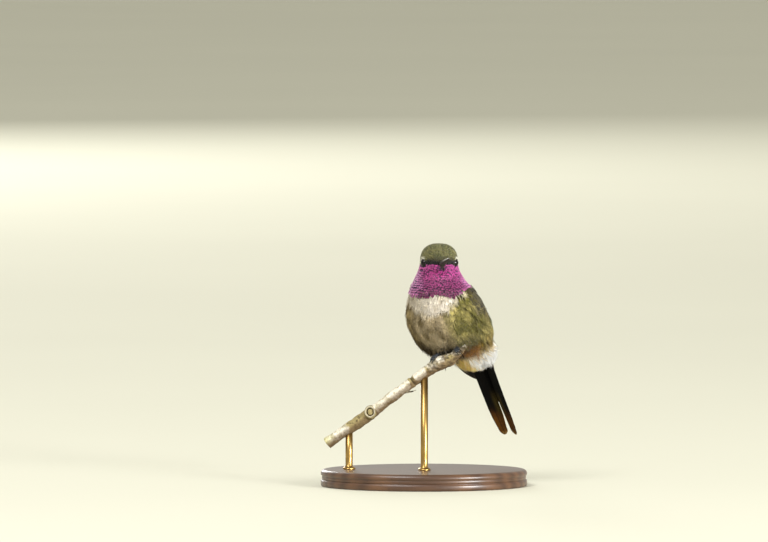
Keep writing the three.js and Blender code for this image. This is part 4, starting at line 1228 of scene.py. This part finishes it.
def spacing(places):
    """Distance between the roots of neighbouring feathers."""
    _, _, cranial = head_parts(places)
    side, _, _ = body_parts(places)
    from_bill = away(places, BILL_BASE)
    on_face = 0.3 + 0.18 * smooth(from_bill, 1.0, 7.0)
    for middle in EYES.values():
        near = away(places, middle)
        on_face = np.minimum(on_face, 0.28 + 0.2 * smooth(near, 1.6, 3.6))
    on_trunk = 0.86 + 0.24 * smooth(np.abs(side), 3.0, 7.0)
    return on_face + (on_trunk - on_face) * smooth(cranial, -3.0, -10.0)


def tree_of(places):
    tree = kdtree.KDTree(len(places))
    for i, place in enumerate(places):
        tree.insert(place, i)
    tree.balance()
    return tree


def scattered(count):
    """Roots on the outer form and their places on its unwrapped map. Of count tries, each is left
    out that lies closer to a kept one than their spacing."""
    rows, columns = OUTER.shape[:2]
    edge_down = OUTER[1:] - OUTER[:-1]
    edge_round = np.roll(OUTER, -1, axis=1) - OUTER
    area = np.linalg.norm(np.cross(edge_down, edge_round[:-1]), axis=-1)
    weight = area / spacing(OUTER[:-1]) ** 2
    cell = draw.choice(weight.size, count, p=(weight / weight.sum()).ravel())
    row, column = np.divmod(cell, columns)
    down, across = draw.random(count), draw.random(count)
    after = (column + 1) % columns
    upper = mixed(OUTER[row, column], OUTER[row, after], across)
    lower = mixed(OUTER[row + 1, column], OUTER[row + 1, after], across)
    places = mixed(upper, lower, down)
    spots = np.stack([(column + across) / columns, 1 - (row + down) / rows], axis=-1)
    gaps = spacing(places)
    tree = tree_of(places)
    free = np.ones(count, bool)
    kept = []
    for i in range(count):
        if free[i]:
            kept.append(i)
            for _, near, _ in tree.find_range(places[i], gaps[i]):
                free[near] = False
    return settled(places[kept]), spots[kept]


def lie(places, facing):
    """The way the coat lies: back from the bill, down the throat and nape, then along the trunk."""
    _, dorsal, cranial = head_parts(places)
    down = 1.3 * smooth(dorsal, -3.0, 3.5) + 2.2 * smooth(cranial, -0.8, -3.5)
    way = unit(places - BILL_BASE) - down[..., None] * HEAD[2]
    knots = SPINE[::5]
    near = np.argmin(away(places[:, None], knots), axis=1)
    trunk = unit(np.gradient(knots, axis=0))[near]
    share = smooth(cranial, -7.0, -12.0)
    way = unit(unit(way) * (1 - share)[:, None] + trunk * share[:, None])
    return unit(way - facing * np.sum(way * facing, axis=-1, keepdims=True))


def nearest(places, targets):
    """Index of and distance to the nearest target of each place."""
    tree = tree_of(targets)
    found = [tree.find(place)[1:] for place in places]
    return tuple(map(np.array, zip(*found)))


def clear_of_twig(lines):
    """Moves places that lie in the twig, or in the toes on it, out to its surface."""
    places = lines.reshape(-1, 3)
    stops = np.linspace(0, 1, TWIG_STOPS)
    offset = places[:, None] - along(TWIG_LINE, stops)
    distance = np.linalg.norm(offset, axis=-1)
    near = np.argmin(distance, axis=1)
    rows = np.arange(len(places))
    over_toes = 0.8 * smooth(away(places, FOOT_AT), 4.0, 3.0)
    least = twig_radius(stops)[near] + TWIG_GAP + over_toes
    push = np.clip(least - distance[rows, near], 0, None)
    return (places + unit(offset[rows, near]) * push[:, None]).reshape(lines.shape)


def laid_paths(roots, lengths, turns):
    """Lines over the outer form that follow the lie of the coat, turned aside by turns. A vane has
    the given length, and the line runs on past its tip for the ends of its barbs."""
    line, facing = [], []
    at = roots
    for _ in range(STEPS):
        out = outward(at)
        line.append(at)
        facing.append(out)
        way = lie(at, out)
        aside = np.cross(way, out)
        way = way * np.cos(turns)[:, None] + aside * np.sin(turns)[:, None]
        at = settled(at + way * (lengths / (VANE_STEPS - 1))[:, None], 1)
    return np.stack(line, axis=1), np.stack(facing, axis=1)


def broad_outline(at):
    """A body feather: narrow at the root, widest past its middle, and rounded at the tip."""
    return 0.35 + 0.65 * np.sin(np.pi * np.clip(at, 0, 1) ** 0.9 * 0.62) ** 1.2


def coat_piece(name, material, slot, made, spots, colours):
    """Builds pieces of coat. Each feather or barb is a small patch at its root on the skin's map."""
    places, template, across, at = made
    triangles = sum(len(group) * (group.shape[1] - 2) for group in template)
    pieces = -(-len(places) * triangles // PIECE_LIMIT)
    patch = np.stack([across, 2 * np.clip(at, 0, 1) - 1], axis=-1) * PATCH / 2 + spots[:, None]
    barb = np.stack([across, at], axis=-1)
    for number, chosen in enumerate(np.array_split(np.arange(len(places)), pieces), 1):
        build(f"{name}_{number}", places[chosen].reshape(-1, 3), repeated(template, places[chosen]),
              material, slot, shades={"plumage": colours[chosen].reshape(-1, 3)},
              maps={"OFBake": patch[chosen].reshape(-1, 2), "barbs": barb[chosen].reshape(-1, 2)})


ROOTS, SPOTS = scattered(ROOT_TRIES)
LENGTHS = spacing(ROOTS) * (3.3 + 0.6 * smooth(head_parts(ROOTS)[2], -3.0, -10.0))
PATHS, FACINGS = laid_paths(ROOTS, LENGTHS, draw.normal(0, 0.12, len(ROOTS)))
FOOT_AT = over_twig(FEET["right"]["share"], TOE_CLEARANCE)
BY_FOOT = smooth(away(ROOTS, FOOT_AT), 5.5, 3.5)[:, None, None]
PATHS = PATHS - FOOT_SAG * (BY_FOOT * np.linspace(0, 1, STEPS)[:, None] ** 1.3)
SHOWN = PATHS[:, VANE_STEPS - 2]
WING_GRID = [grid.ravel() for grid in np.meshgrid(np.linspace(0.0, 0.9, 60), np.linspace(-1.3, 1.0, 60))]


def wing_spot(places):
    """The nearest place of either wing, as shares along and across, and the distance to it."""
    flanks = np.vstack([wing_place(side, *WING_GRID, -WING_LIFT)[0] for side in WING_SIDES.values()])
    index, distance = nearest(places, flanks)
    index = index % len(WING_GRID[0])
    return WING_GRID[0][index], WING_GRID[1][index], distance


def over_edge(share):
    """How far across a wing the feathers of the flank reach."""
    return 0.2 + 0.1 * smooth(share, 0.3, 0.48) - 0.25 * smooth(share, 0.62, 0.8)


def over_wing(places):
    """Height of the body feathers over the form, where they cover the bend of a wing and its
    leading half."""
    share, across, distance = wing_spot(places.reshape(-1, 3))
    edge = over_edge(share)
    ramp = smooth(across, -1.0, -0.5) * smooth((across - edge) / 0.2, 0.0, -1.0)
    ramp = ramp * smooth(distance, 1.6, 0.8) * smooth(share, 0.1, 0.24) * smooth(share, 0.84, 0.7)
    bend = smooth(share, 0.26, 0.1) * smooth(distance, 3.2, 0.6) * smooth(across, -1.1, -0.5)
    bend = bend * (0.35 + 0.65 * smooth(share, 0.02, 0.22))
    height = np.maximum(COVER_HEIGHT * ramp, SHOULDER_HEIGHT * bend)
    return height.reshape(places.shape[:-1])


def off_eyes(lines):
    """How near each line comes to the middle of an eye."""
    return np.min([away(lines, middle).min(1) for middle in EYES.values()], axis=0)


COVER = over_wing(PATHS)
wing_share, wing_across, wing_away = wing_spot(ROOTS)
UNDER_WING = (wing_away < 0.8) & (wing_across > over_edge(wing_share) - 0.04) & (
    wing_across < 0.46) & (wing_share > 0.17) & (wing_share < 0.75)
SHOWN_SIDE, SHOWN_BACK, SHOWN_FORE = body_parts(SHOWN)
SHOWN_CRANIAL = head_parts(SHOWN)[2]
IN_GORGET = gorget_share(SHOWN) > 0.5
CLEAR = (off_eyes(PATHS) > EYE_RADIUS + 0.1) & ~UNDER_WING & ~IN_GORGET
ON_HEAD = (SHOWN_CRANIAL > -5.5) & CLEAR
ON_TRUNK = CLEAR & ~ON_HEAD
IN_TUFT = (np.abs(SHOWN_SIDE - 0.9) > 3.2) & (SHOWN_FORE < -9.8) & (SHOWN_BACK < 5.2) & ON_TRUNK
ON_BACK = (SHOWN_BACK > 3.6) & ON_TRUNK & ~IN_TUFT
ON_VENT = (SHOWN_FORE < -9.2) & ON_TRUNK & ~ON_BACK & ~IN_TUFT
ON_BREAST = (band_share(SHOWN) > 0.45) & ON_TRUNK & ~ON_BACK
ON_FLANK = (np.abs(SHOWN_SIDE) > 4.5) & ON_TRUNK & ~(ON_BREAST | ON_BACK | ON_VENT | IN_TUFT)
ON_BELLY = ON_TRUNK & ~(ON_FLANK | ON_BREAST | ON_BACK | ON_VENT | IN_TUFT)


def feather_colours(base, across, at, root_tone, fringe):
    """Colours over vanes: downy darker roots, the feather's own colour and a soft paler rim."""
    colours = mixed(root_tone * base[:, None], base[:, None], smooth(at, 0.5, 0.8))
    rim = np.maximum(smooth(at, 0.76, 1.0), smooth(np.abs(across), 0.4, 1.0) * smooth(at, 0.6, 0.9))
    return np.clip(colours * (1 + fringe * rim)[..., None], 0, 1)


def barb_ends(line, facing, half_width, each, past, thickness, lift, fan, curl):
    """Single barbs that carry on a vane past its edge and tip: pointed three-sided needles."""
    count = len(line)
    across = np.linspace(-0.95, 0.95, each) + draw.normal(0, 0.08, (count, each))
    start = 0.62 - 0.1 * draw.random((count, each))
    stop = (1 - 0.28 * across**2) * (1 + past * draw.random((count, each)))
    t = np.linspace(0, 1, 4)
    at = start[..., None] + (stop - start)[..., None] * t
    middle, out, aside = sampled(line, facing, np.minimum(at * (VANE_STEPS - 1), STEPS - 1.001))
    bend = draw.normal(0, curl, (count, each))[..., None] * t**2
    wide = half_width[:, None, None] * broad_outline(np.minimum(at, 0.86))
    x = across[..., None] * wide * (1 + fan * np.clip(at - 0.7, 0, None)) + bend
    rise = lift(at) + 0.03 + np.abs(draw.normal(0, 0.6 * curl, (count, each)))[..., None] * t**2
    middle = middle + aside * x[..., None] + out * rise[..., None]
    turn = np.radians([90, 210, 330])
    ring = (aside[:, :, :3, None] * np.cos(turn)[:, None] + out[:, :, :3, None] * np.sin(turn)[:, None])
    ring = middle[:, :, :3, None] + ring * thickness * np.array([1, 0.9, 0.6])[:, None, None]
    places = np.concatenate([ring.reshape(count * each, 9, 3), middle[:, :, 3:].reshape(-1, 1, 3)], axis=1)
    sides = [[a + i, a + (i + 1) % 3, a + 3 + (i + 1) % 3, a + 3 + i] for a in (0, 3) for i in range(3)]
    ends = [[6 + i, 6 + (i + 1) % 3, 9] for i in range(3)] + [[0, 2, 1]]
    template = [np.array(sides), np.array(ends)]
    spread = np.repeat(across.reshape(-1, 1), 10, axis=1)
    shares = np.concatenate([np.repeat(at[..., :3], 3, axis=-1), at[..., 3:]], axis=-1)
    return places, template, spread, shares.reshape(-1, 10)


def coat_of(name, material, slot, chosen, width, root_tone, fringe, rise, tone_spread, each, past,
            columns=8, rows=5, thickness=0.035, fan=0.5, curl=0.1):
    """Feathers of one tract, laid from the skin up to the outer form, and the ends of their barbs.
    Width goes with the spacing, root_tone darkens the roots, fringe lightens the rims, rise lifts
    the tips, and each vane has that number of barb ends, which reach past its tip by a share."""
    line, facing = PATHS[chosen], FACINGS[chosen]
    line = clear_of_twig(line) + facing * COVER[chosen][..., None]
    count = len(line)
    gap = spacing(ROOTS[chosen])
    depth = coat_depth(ROOTS[chosen]) + 0.06
    tip = rise * draw.random(count)

    def lift(at):
        under = np.clip(1 - at, 0, None)
        sunk = depth[:, None, None] * (0.4 * under + 0.6 * under**2)
        return tip[:, None, None] * at**2 - sunk

    made = vanes(line[:, :VANE_STEPS], facing[:, :VANE_STEPS], width * gap, broad_outline,
                 rounded_reach(count, columns, 0.32, 0.1), lift, camber=0.3, thickness=0.03,
                 rows=rows)
    base = coat_colour(SHOWN[chosen]) * np.exp(draw.normal(0, tone_spread, count))[:, None]
    colours = feather_colours(base, made[2], made[3], root_tone, fringe)
    coat_piece(name, material, slot, made, SPOTS[chosen], colours)
    made = barb_ends(line, facing, width * gap, each, past, thickness, lift, fan, curl)
    tone = (1 + fringe * draw.random(count * each)) * np.exp(draw.normal(0, 0.07, count * each))
    colours = (np.repeat(base, each, axis=0) * tone[:, None])[:, None] + np.zeros((1, 10, 1))
    coat_piece(name + "_barbs", material, slot, made, np.repeat(SPOTS[chosen], each, axis=0),
               np.clip(colours, 0, 1))


# Head feathers: short and close, with a faint bronze gloss over dull olive.
HEAD_FEATHER = barbed("head_feather", {"Roughness": 0.68, "Sheen Weight": 0.15,
                                       "Sheen Roughness": 0.4, "Specular IOR Level": 0.25},
                      length=2.0, barb_gap=0.1, slant=0.45, depth=0.02)
coat_of("coat_head", HEAD_FEATHER, "plumage_green", ON_HEAD, width=0.85, root_tone=0.55,
        fringe=0.3, rise=0.05, tone_spread=0.17, each=6, past=0.16, columns=6, rows=4,
        thickness=0.018, curl=0.04)

# ---------- Coat: gorget ----------
# The throat patch: stiff shining scales of magenta in close level rows from the chin down. They grow
# larger downwards, and the lowest ones flare over the white breast with a scalloped edge.
CHIN_GAP, RUFF_GAP, SCALE_WIDTH = 0.5, 0.78, 1.1
# What is left of a scale's red, green and blue in its dark root, which also shows as painted shade just
# below the tips of the row above.
SCALE_ROOT_AND_SHADE = np.array([0.14, 0.1, 0.2])
GORGET_ROWS, ROW_STEP, ROW_STEPS, GAPE_RISE = 17, 0.08, 190, 0.5


def gorget_roots():
    """Roots in staggered rows, from the line of the gape and the eyes down to the gorget's foot."""
    azimuth = np.radians(np.linspace(-130, 130, 300))
    level = np.sin(azimuth)[:, None] * HEAD[0] - np.cos(azimuth)[:, None] * HEAD[1]
    raised = 1.1 * smooth(np.abs(azimuth), 0.3, 0.9)
    height = np.full(len(azimuth), -0.4)
    for _ in range(3):
        at = cast(HEAD_AT + HEAD[2] * height[:, None], level, 12.0, 39)
        height = np.minimum(gorget_top(head_parts(at)[1]), -0.4) + raised
    tracks = [at]
    for _ in range(ROW_STEPS):
        out = outward(at)
        steep = unit(out * (out @ HEAD[2])[:, None] - HEAD[2])
        by_bill = smooth(away(at, BILL_BASE), 4.5, 1.5)
        at = settled(at + unit(mixed(steep, lie(at, out), by_bill)) * ROW_STEP, 1)
        tracks.append(at)
    tracks = np.array(tracks)
    left, _, cranial = head_parts(tracks)
    fallen = np.maximum.accumulate(-cranial, axis=0)
    foot = gorget_foot(left[ROW_STEPS // 2]) + 0.9
    steps = np.arange(CHIN_GAP, RUFF_GAP, (RUFF_GAP - CHIN_GAP) / GORGET_ROWS)
    shares = np.concatenate([[0], np.cumsum(steps)[:-1]]) / np.sum(steps[:-1])
    rows = [(settled(tracks[0] + GAPE_RISE * HEAD[2]), CHIN_GAP)]
    for row, share in enumerate(shares):
        level = fallen[0] + (-foot - fallen[0]) * share + 0.07 * np.sin(11 * azimuth + 1.7 * row)
        index = [np.interp(level[i], fallen[:, i], np.arange(ROW_STEPS + 1))
                 for i in range(len(azimuth))]
        rows.append((tracks[np.array(index).astype(int), np.arange(len(azimuth))], steps[row]))
    roots, gaps = [], []
    for row, (line, step) in enumerate(rows):
        gap = step * SCALE_WIDTH
        lengths = lengths_along(line)
        across = np.arange(0.5 * (row % 2), lengths[-1] / gap, 1.0) * gap
        across = across + draw.normal(0, 0.1 * gap, len(across))
        roots.append(place_at(line, lengths, across))
        gaps.append(np.full(len(across), step))
    roots, gaps = np.concatenate(roots), np.concatenate(gaps)
    return settled(roots + draw.normal(0, 0.06, roots.shape)), gaps


def map_spots(places):
    """Where places on the form lie on its unwrapped map."""
    rows, columns = OUTER.shape[:2]
    row, column = np.divmod(nearest(places, OUTER.reshape(-1, 3))[0], columns)
    return np.stack([column / columns, 1 - row / rows], axis=-1)


def scale_outline(at):
    """A gorget scale: a narrow stalk and a broad square-shouldered end."""
    return 0.4 + 0.6 * smooth(at, 0.1, 0.6)


# Gorget scales: barbs that shine like dyed foil, magenta with a violet sheen, over dark bases.
GORGET_SCALE = barbed("gorget_scale", {"Metallic": 0.12, "Roughness": 0.42, "Sheen Weight": 0.35,
                                       "Sheen Roughness": 0.35, "Sheen Tint": paint(0xE8B0FF)},
                      length=2.0, barb_gap=0.14, slant=0.45, depth=0.02)
scale_roots, scale_gaps = gorget_roots()
line, facing = laid_paths(scale_roots, 2.6 * scale_gaps, draw.normal(0, 0.06, len(scale_roots)))
shown = line[:, VANE_STEPS - 2]
chosen = gorget_share(shown) > 0.45
chosen &= off_eyes(line) > EYE_RADIUS + 0.2
line, facing, shown = line[chosen, :VANE_STEPS], facing[chosen, :VANE_STEPS], shown[chosen]
scale_gaps, scale_roots = scale_gaps[chosen], scale_roots[chosen]
count = len(line)
left, _, cranial = head_parts(shown)
at_edge = smooth(cranial - gorget_foot(left), 1.9, 0.2)
scale_rise = scale_gaps * (0.14 + 0.14 * draw.random(count)) + 0.4 * at_edge
scale_depth = 0.5 * coat_depth(scale_roots)


def scale_lift(at):
    sunk = scale_depth[:, None, None] * (0.35 * (1 - at) + 0.65 * (1 - at) ** 2)
    return scale_rise[:, None, None] * at**1.8 - sunk


made = vanes(line, facing, 0.58 * SCALE_WIDTH * scale_gaps, scale_outline,
             rounded_reach(count, 8, 0.27, 0.05), scale_lift, camber=0.22, thickness=0.025, rows=7)
base = gorget_colour(shown) * np.exp(draw.normal(0.0, 0.16, count))[:, None]
at = made[3]
# Dark roots show as thin lines of painted shade under each row, and the paler band near the tip is a
# painted highlight.
colours = layered(SCALE_ROOT_AND_SHADE * base[:, None], (base[:, None], smooth(at, 0.58, 0.76)),
                  (np.clip(base[:, None] * 1.25 + 0.02, 0, 1), 0.6 * smooth(at, 0.8, 0.92)))
coat_piece("coat_gorget", GORGET_SCALE, "plumage_gorget", made, map_spots(scale_roots), colours)

# ---------- Coat: breast, belly, flanks, back and vent ----------
# Soft loose feathers with downy roots and frayed ends, white on the breast, mottled grey on the
# belly, yellow green on the left flank, bronze green on the back and buff round the vent.
SOFT_BARBS = {"length": 3.0, "barb_gap": 0.12, "slant": 0.4, "depth": 0.02}

# White and buff down is matt with a strong soft sheen, grey is duller, and bronze has a faint shine.
BREAST_FEATHER = barbed("white_breast_feather", {"Roughness": 0.85, "Sheen Weight": 0.35,
                                                 "Sheen Roughness": 0.5}, **SOFT_BARBS)
BELLY_FEATHER = barbed("grey_belly_feather", {"Roughness": 0.9, "Sheen Weight": 0.12,
                                              "Specular IOR Level": 0.2}, **SOFT_BARBS)
BACK_FEATHER = barbed("bronze_back_feather", {"Roughness": 0.5, "Metallic": 0.15,
                                              "Sheen Weight": 0.2}, **SOFT_BARBS)
coat_of("coat_breast", BREAST_FEATHER, "plumage_white", ON_BREAST, width=1.0, root_tone=0.95,
        fringe=0.05, rise=0.2, tone_spread=0.03, each=30, past=0.5, curl=0.2)
coat_of("coat_belly", BELLY_FEATHER, "plumage_grey", ON_BELLY, width=0.95, root_tone=0.5,
        fringe=0.45, rise=0.28, tone_spread=0.12, each=24, past=0.45, curl=0.16)
coat_of("coat_flanks", BELLY_FEATHER, "plumage_grey", ON_FLANK, width=0.95, root_tone=0.5,
        fringe=0.6, rise=0.32, tone_spread=0.13, each=22, past=0.4, curl=0.16)
coat_of("coat_back", BACK_FEATHER, "plumage_green", ON_BACK, width=0.95, root_tone=0.6,
        fringe=0.2, rise=0.1, tone_spread=0.07, each=8, past=0.15)
coat_of("coat_vent", BREAST_FEATHER, "plumage_buff", ON_VENT, width=1.0, root_tone=0.8,
        fringe=0.15, rise=0.3, tone_spread=0.07, each=30, past=0.7, thickness=0.045, fan=0.8, curl=0.2)
coat_of("coat_tuft", BREAST_FEATHER, "plumage_white", IN_TUFT, width=1.0, root_tone=0.95,
        fringe=0.05, rise=0.5, tone_spread=0.07, each=40, past=0.6, thickness=0.05, fan=0.8,
        curl=0.25)


def pointed_outline(at):
    """A loose plume whose barbs draw together to a point."""
    return np.sin(np.pi * np.clip(at, 0, 1) ** 0.6) ** 0.7 * 0.94 + 0.06


def plumes(name, material, slot, tract, each, length, half_width, rise, root_tone, tone_spread=0.06):
    """Loose pointed locks, a number of them to each root of a tract, which stand off over the rest.
    Those of the flanks are ruffled and stand off most."""
    chosen = np.repeat(np.flatnonzero(tract), each)
    count = len(chosen)
    length = length * (0.7 + 0.5 * draw.random(count))
    line, facing = laid_paths(ROOTS[chosen], length, draw.normal(0, 0.3, count))
    line = clear_of_twig(line) + facing * COVER[chosen][..., None]
    _, back, fore = body_parts(ROOTS[chosen])
    ruffled = 1 + 1.6 * smooth(fore, 3.0, -3.0) * smooth(fore, -10.0, -8.0) * smooth(back, 1.5, -0.5)
    tip = rise * ruffled * draw.random(count)
    depth = coat_depth(ROOTS[chosen])

    def lift(at):
        return tip[:, None, None] * at**2 - depth[:, None, None] * np.clip(1 - 2 * at, 0, None)

    half_widths = half_width * (0.7 + 0.6 * draw.random(count))
    made = vanes(line, facing, half_widths, pointed_outline, rounded_reach(count, 2, 0.0, 0.0), lift,
                 camber=0.25, thickness=0.025, rows=6)
    base = coat_colour(line[:, 4]) * np.exp(draw.normal(0, tone_spread, count))[:, None]
    colours = feather_colours(base, made[2], made[3], root_tone, 0.08)
    coat_piece(name, material, slot, made, SPOTS[chosen], colours)


plumes("plumes_tuft", BREAST_FEATHER, "plumage_white", IN_TUFT, each=8, length=4.3,
       half_width=0.13, rise=1.2, root_tone=0.9)
plumes("plumes_vent", BREAST_FEATHER, "plumage_buff", ON_VENT, each=3, length=3.3,
       half_width=0.12, rise=0.6, root_tone=0.88)
plumes("plumes_breast", BREAST_FEATHER, "plumage_white", ON_BREAST, each=4, length=2.6,
       half_width=0.08, rise=0.25, root_tone=0.95)
plumes("plumes_belly", BELLY_FEATHER, "plumage_grey", ON_BELLY, each=2, length=2.6,
       half_width=0.075, rise=0.75, root_tone=0.85)
plumes("plumes_flanks", BELLY_FEATHER, "plumage_grey", ON_FLANK, each=2, length=2.4,
       half_width=0.08, rise=0.5, root_tone=0.85)
AT_BEND = (COVER[:, 3] > 0.3) & (wing_share < 0.6) & ON_TRUNK & ~ON_BREAST & (SHOWN_CRANIAL < -7.5)
plumes("plumes_scapulars", BELLY_FEATHER, "plumage_green", AT_BEND, each=3, length=3.0,
       half_width=0.12, rise=0.25, root_tone=0.6, tone_spread=0.15)

# ---------- Floor, light and camera ----------
# A plain pale floor under soft studio light: a broad lamp high on the left, a weaker one on the
# right and an even surround. A long lens looks slightly down on the bird.
FLOOR_PALE, SURROUND_PALE = 0xD6D4C2, 0xE9E8DE
CAMERA_TARGET = np.array([-12.0, 0.0, 64.59])
CAMERA_DISTANCE, CAMERA_FAR, CAMERA_RISE = 3200.0, 100000.0, 3.0
CAMERA_LENS, CAMERA_SENSOR = 500.0, 36.0
FLOOR_SIZE, CLOUD_SIZE, LAMP_AIM, SURROUND_STRENGTH = 60000, 333.33, (6, -3, 50), 0.75
LAMPS = [("key", (-900, -1500, 1900), 1300, 46.0), ("fill", (1500, -1500, 420), 800, 60.0),
         ("rim", (-700, 2500, 800), 900, 18.0)]

# Matt floor paint: pale and even, with hardly visible clouds.
PALE_FLOOR = new_material("matt_painted_floor")
clouds = grain(PALE_FLOOR, CLOUD_SIZE)
finish(PALE_FLOOR, {"Base Color": speckled(PALE_FLOOR, linear(FLOOR_PALE), clouds, 0.97, 1.03),
                    "Roughness": 0.9, "Specular IOR Level": 0.2})
bpy.ops.mesh.primitive_plane_add(size=FLOOR_SIZE / 1000, location=(0, 0, 0))
floor = bpy.context.object
floor.name = "floor"
floor.data.materials.append(PALE_FLOOR)

for name, at, size, power in LAMPS:
    lamp = bpy.data.lights.new(name, "AREA")
    lamp.shape, lamp.size, lamp.energy = "DISK", size / 1000, power
    holder = bpy.data.objects.new(name, lamp)
    holder.location = Vector(at) / 1000
    aim = Vector(LAMP_AIM) / 1000 - holder.location
    holder.rotation_euler = aim.to_track_quat("-Z", "Y").to_euler()
    bpy.context.scene.collection.objects.link(holder)
surround = bpy.data.worlds.new("surround")
surround.use_nodes = True
surround.node_tree.nodes["Background"].inputs["Color"].default_value = paint(SURROUND_PALE)
surround.node_tree.nodes["Background"].inputs["Strength"].default_value = SURROUND_STRENGTH
bpy.context.scene.world = surround
bpy.context.scene.view_settings.view_transform = "Standard"

camera = bpy.data.objects.new("camera", bpy.data.cameras.new("camera"))
rise = np.radians(CAMERA_RISE)
camera.location = (CAMERA_TARGET + CAMERA_DISTANCE * np.array([0, -np.cos(rise), np.sin(rise)])) / 1000
camera.rotation_euler = (np.pi / 2 - rise, 0, 0)
camera.data.lens, camera.data.sensor_width = CAMERA_LENS, CAMERA_SENSOR
camera.data.clip_end = CAMERA_FAR / 1000
bpy.context.scene.collection.objects.link(camera)
bpy.context.scene.camera = camera
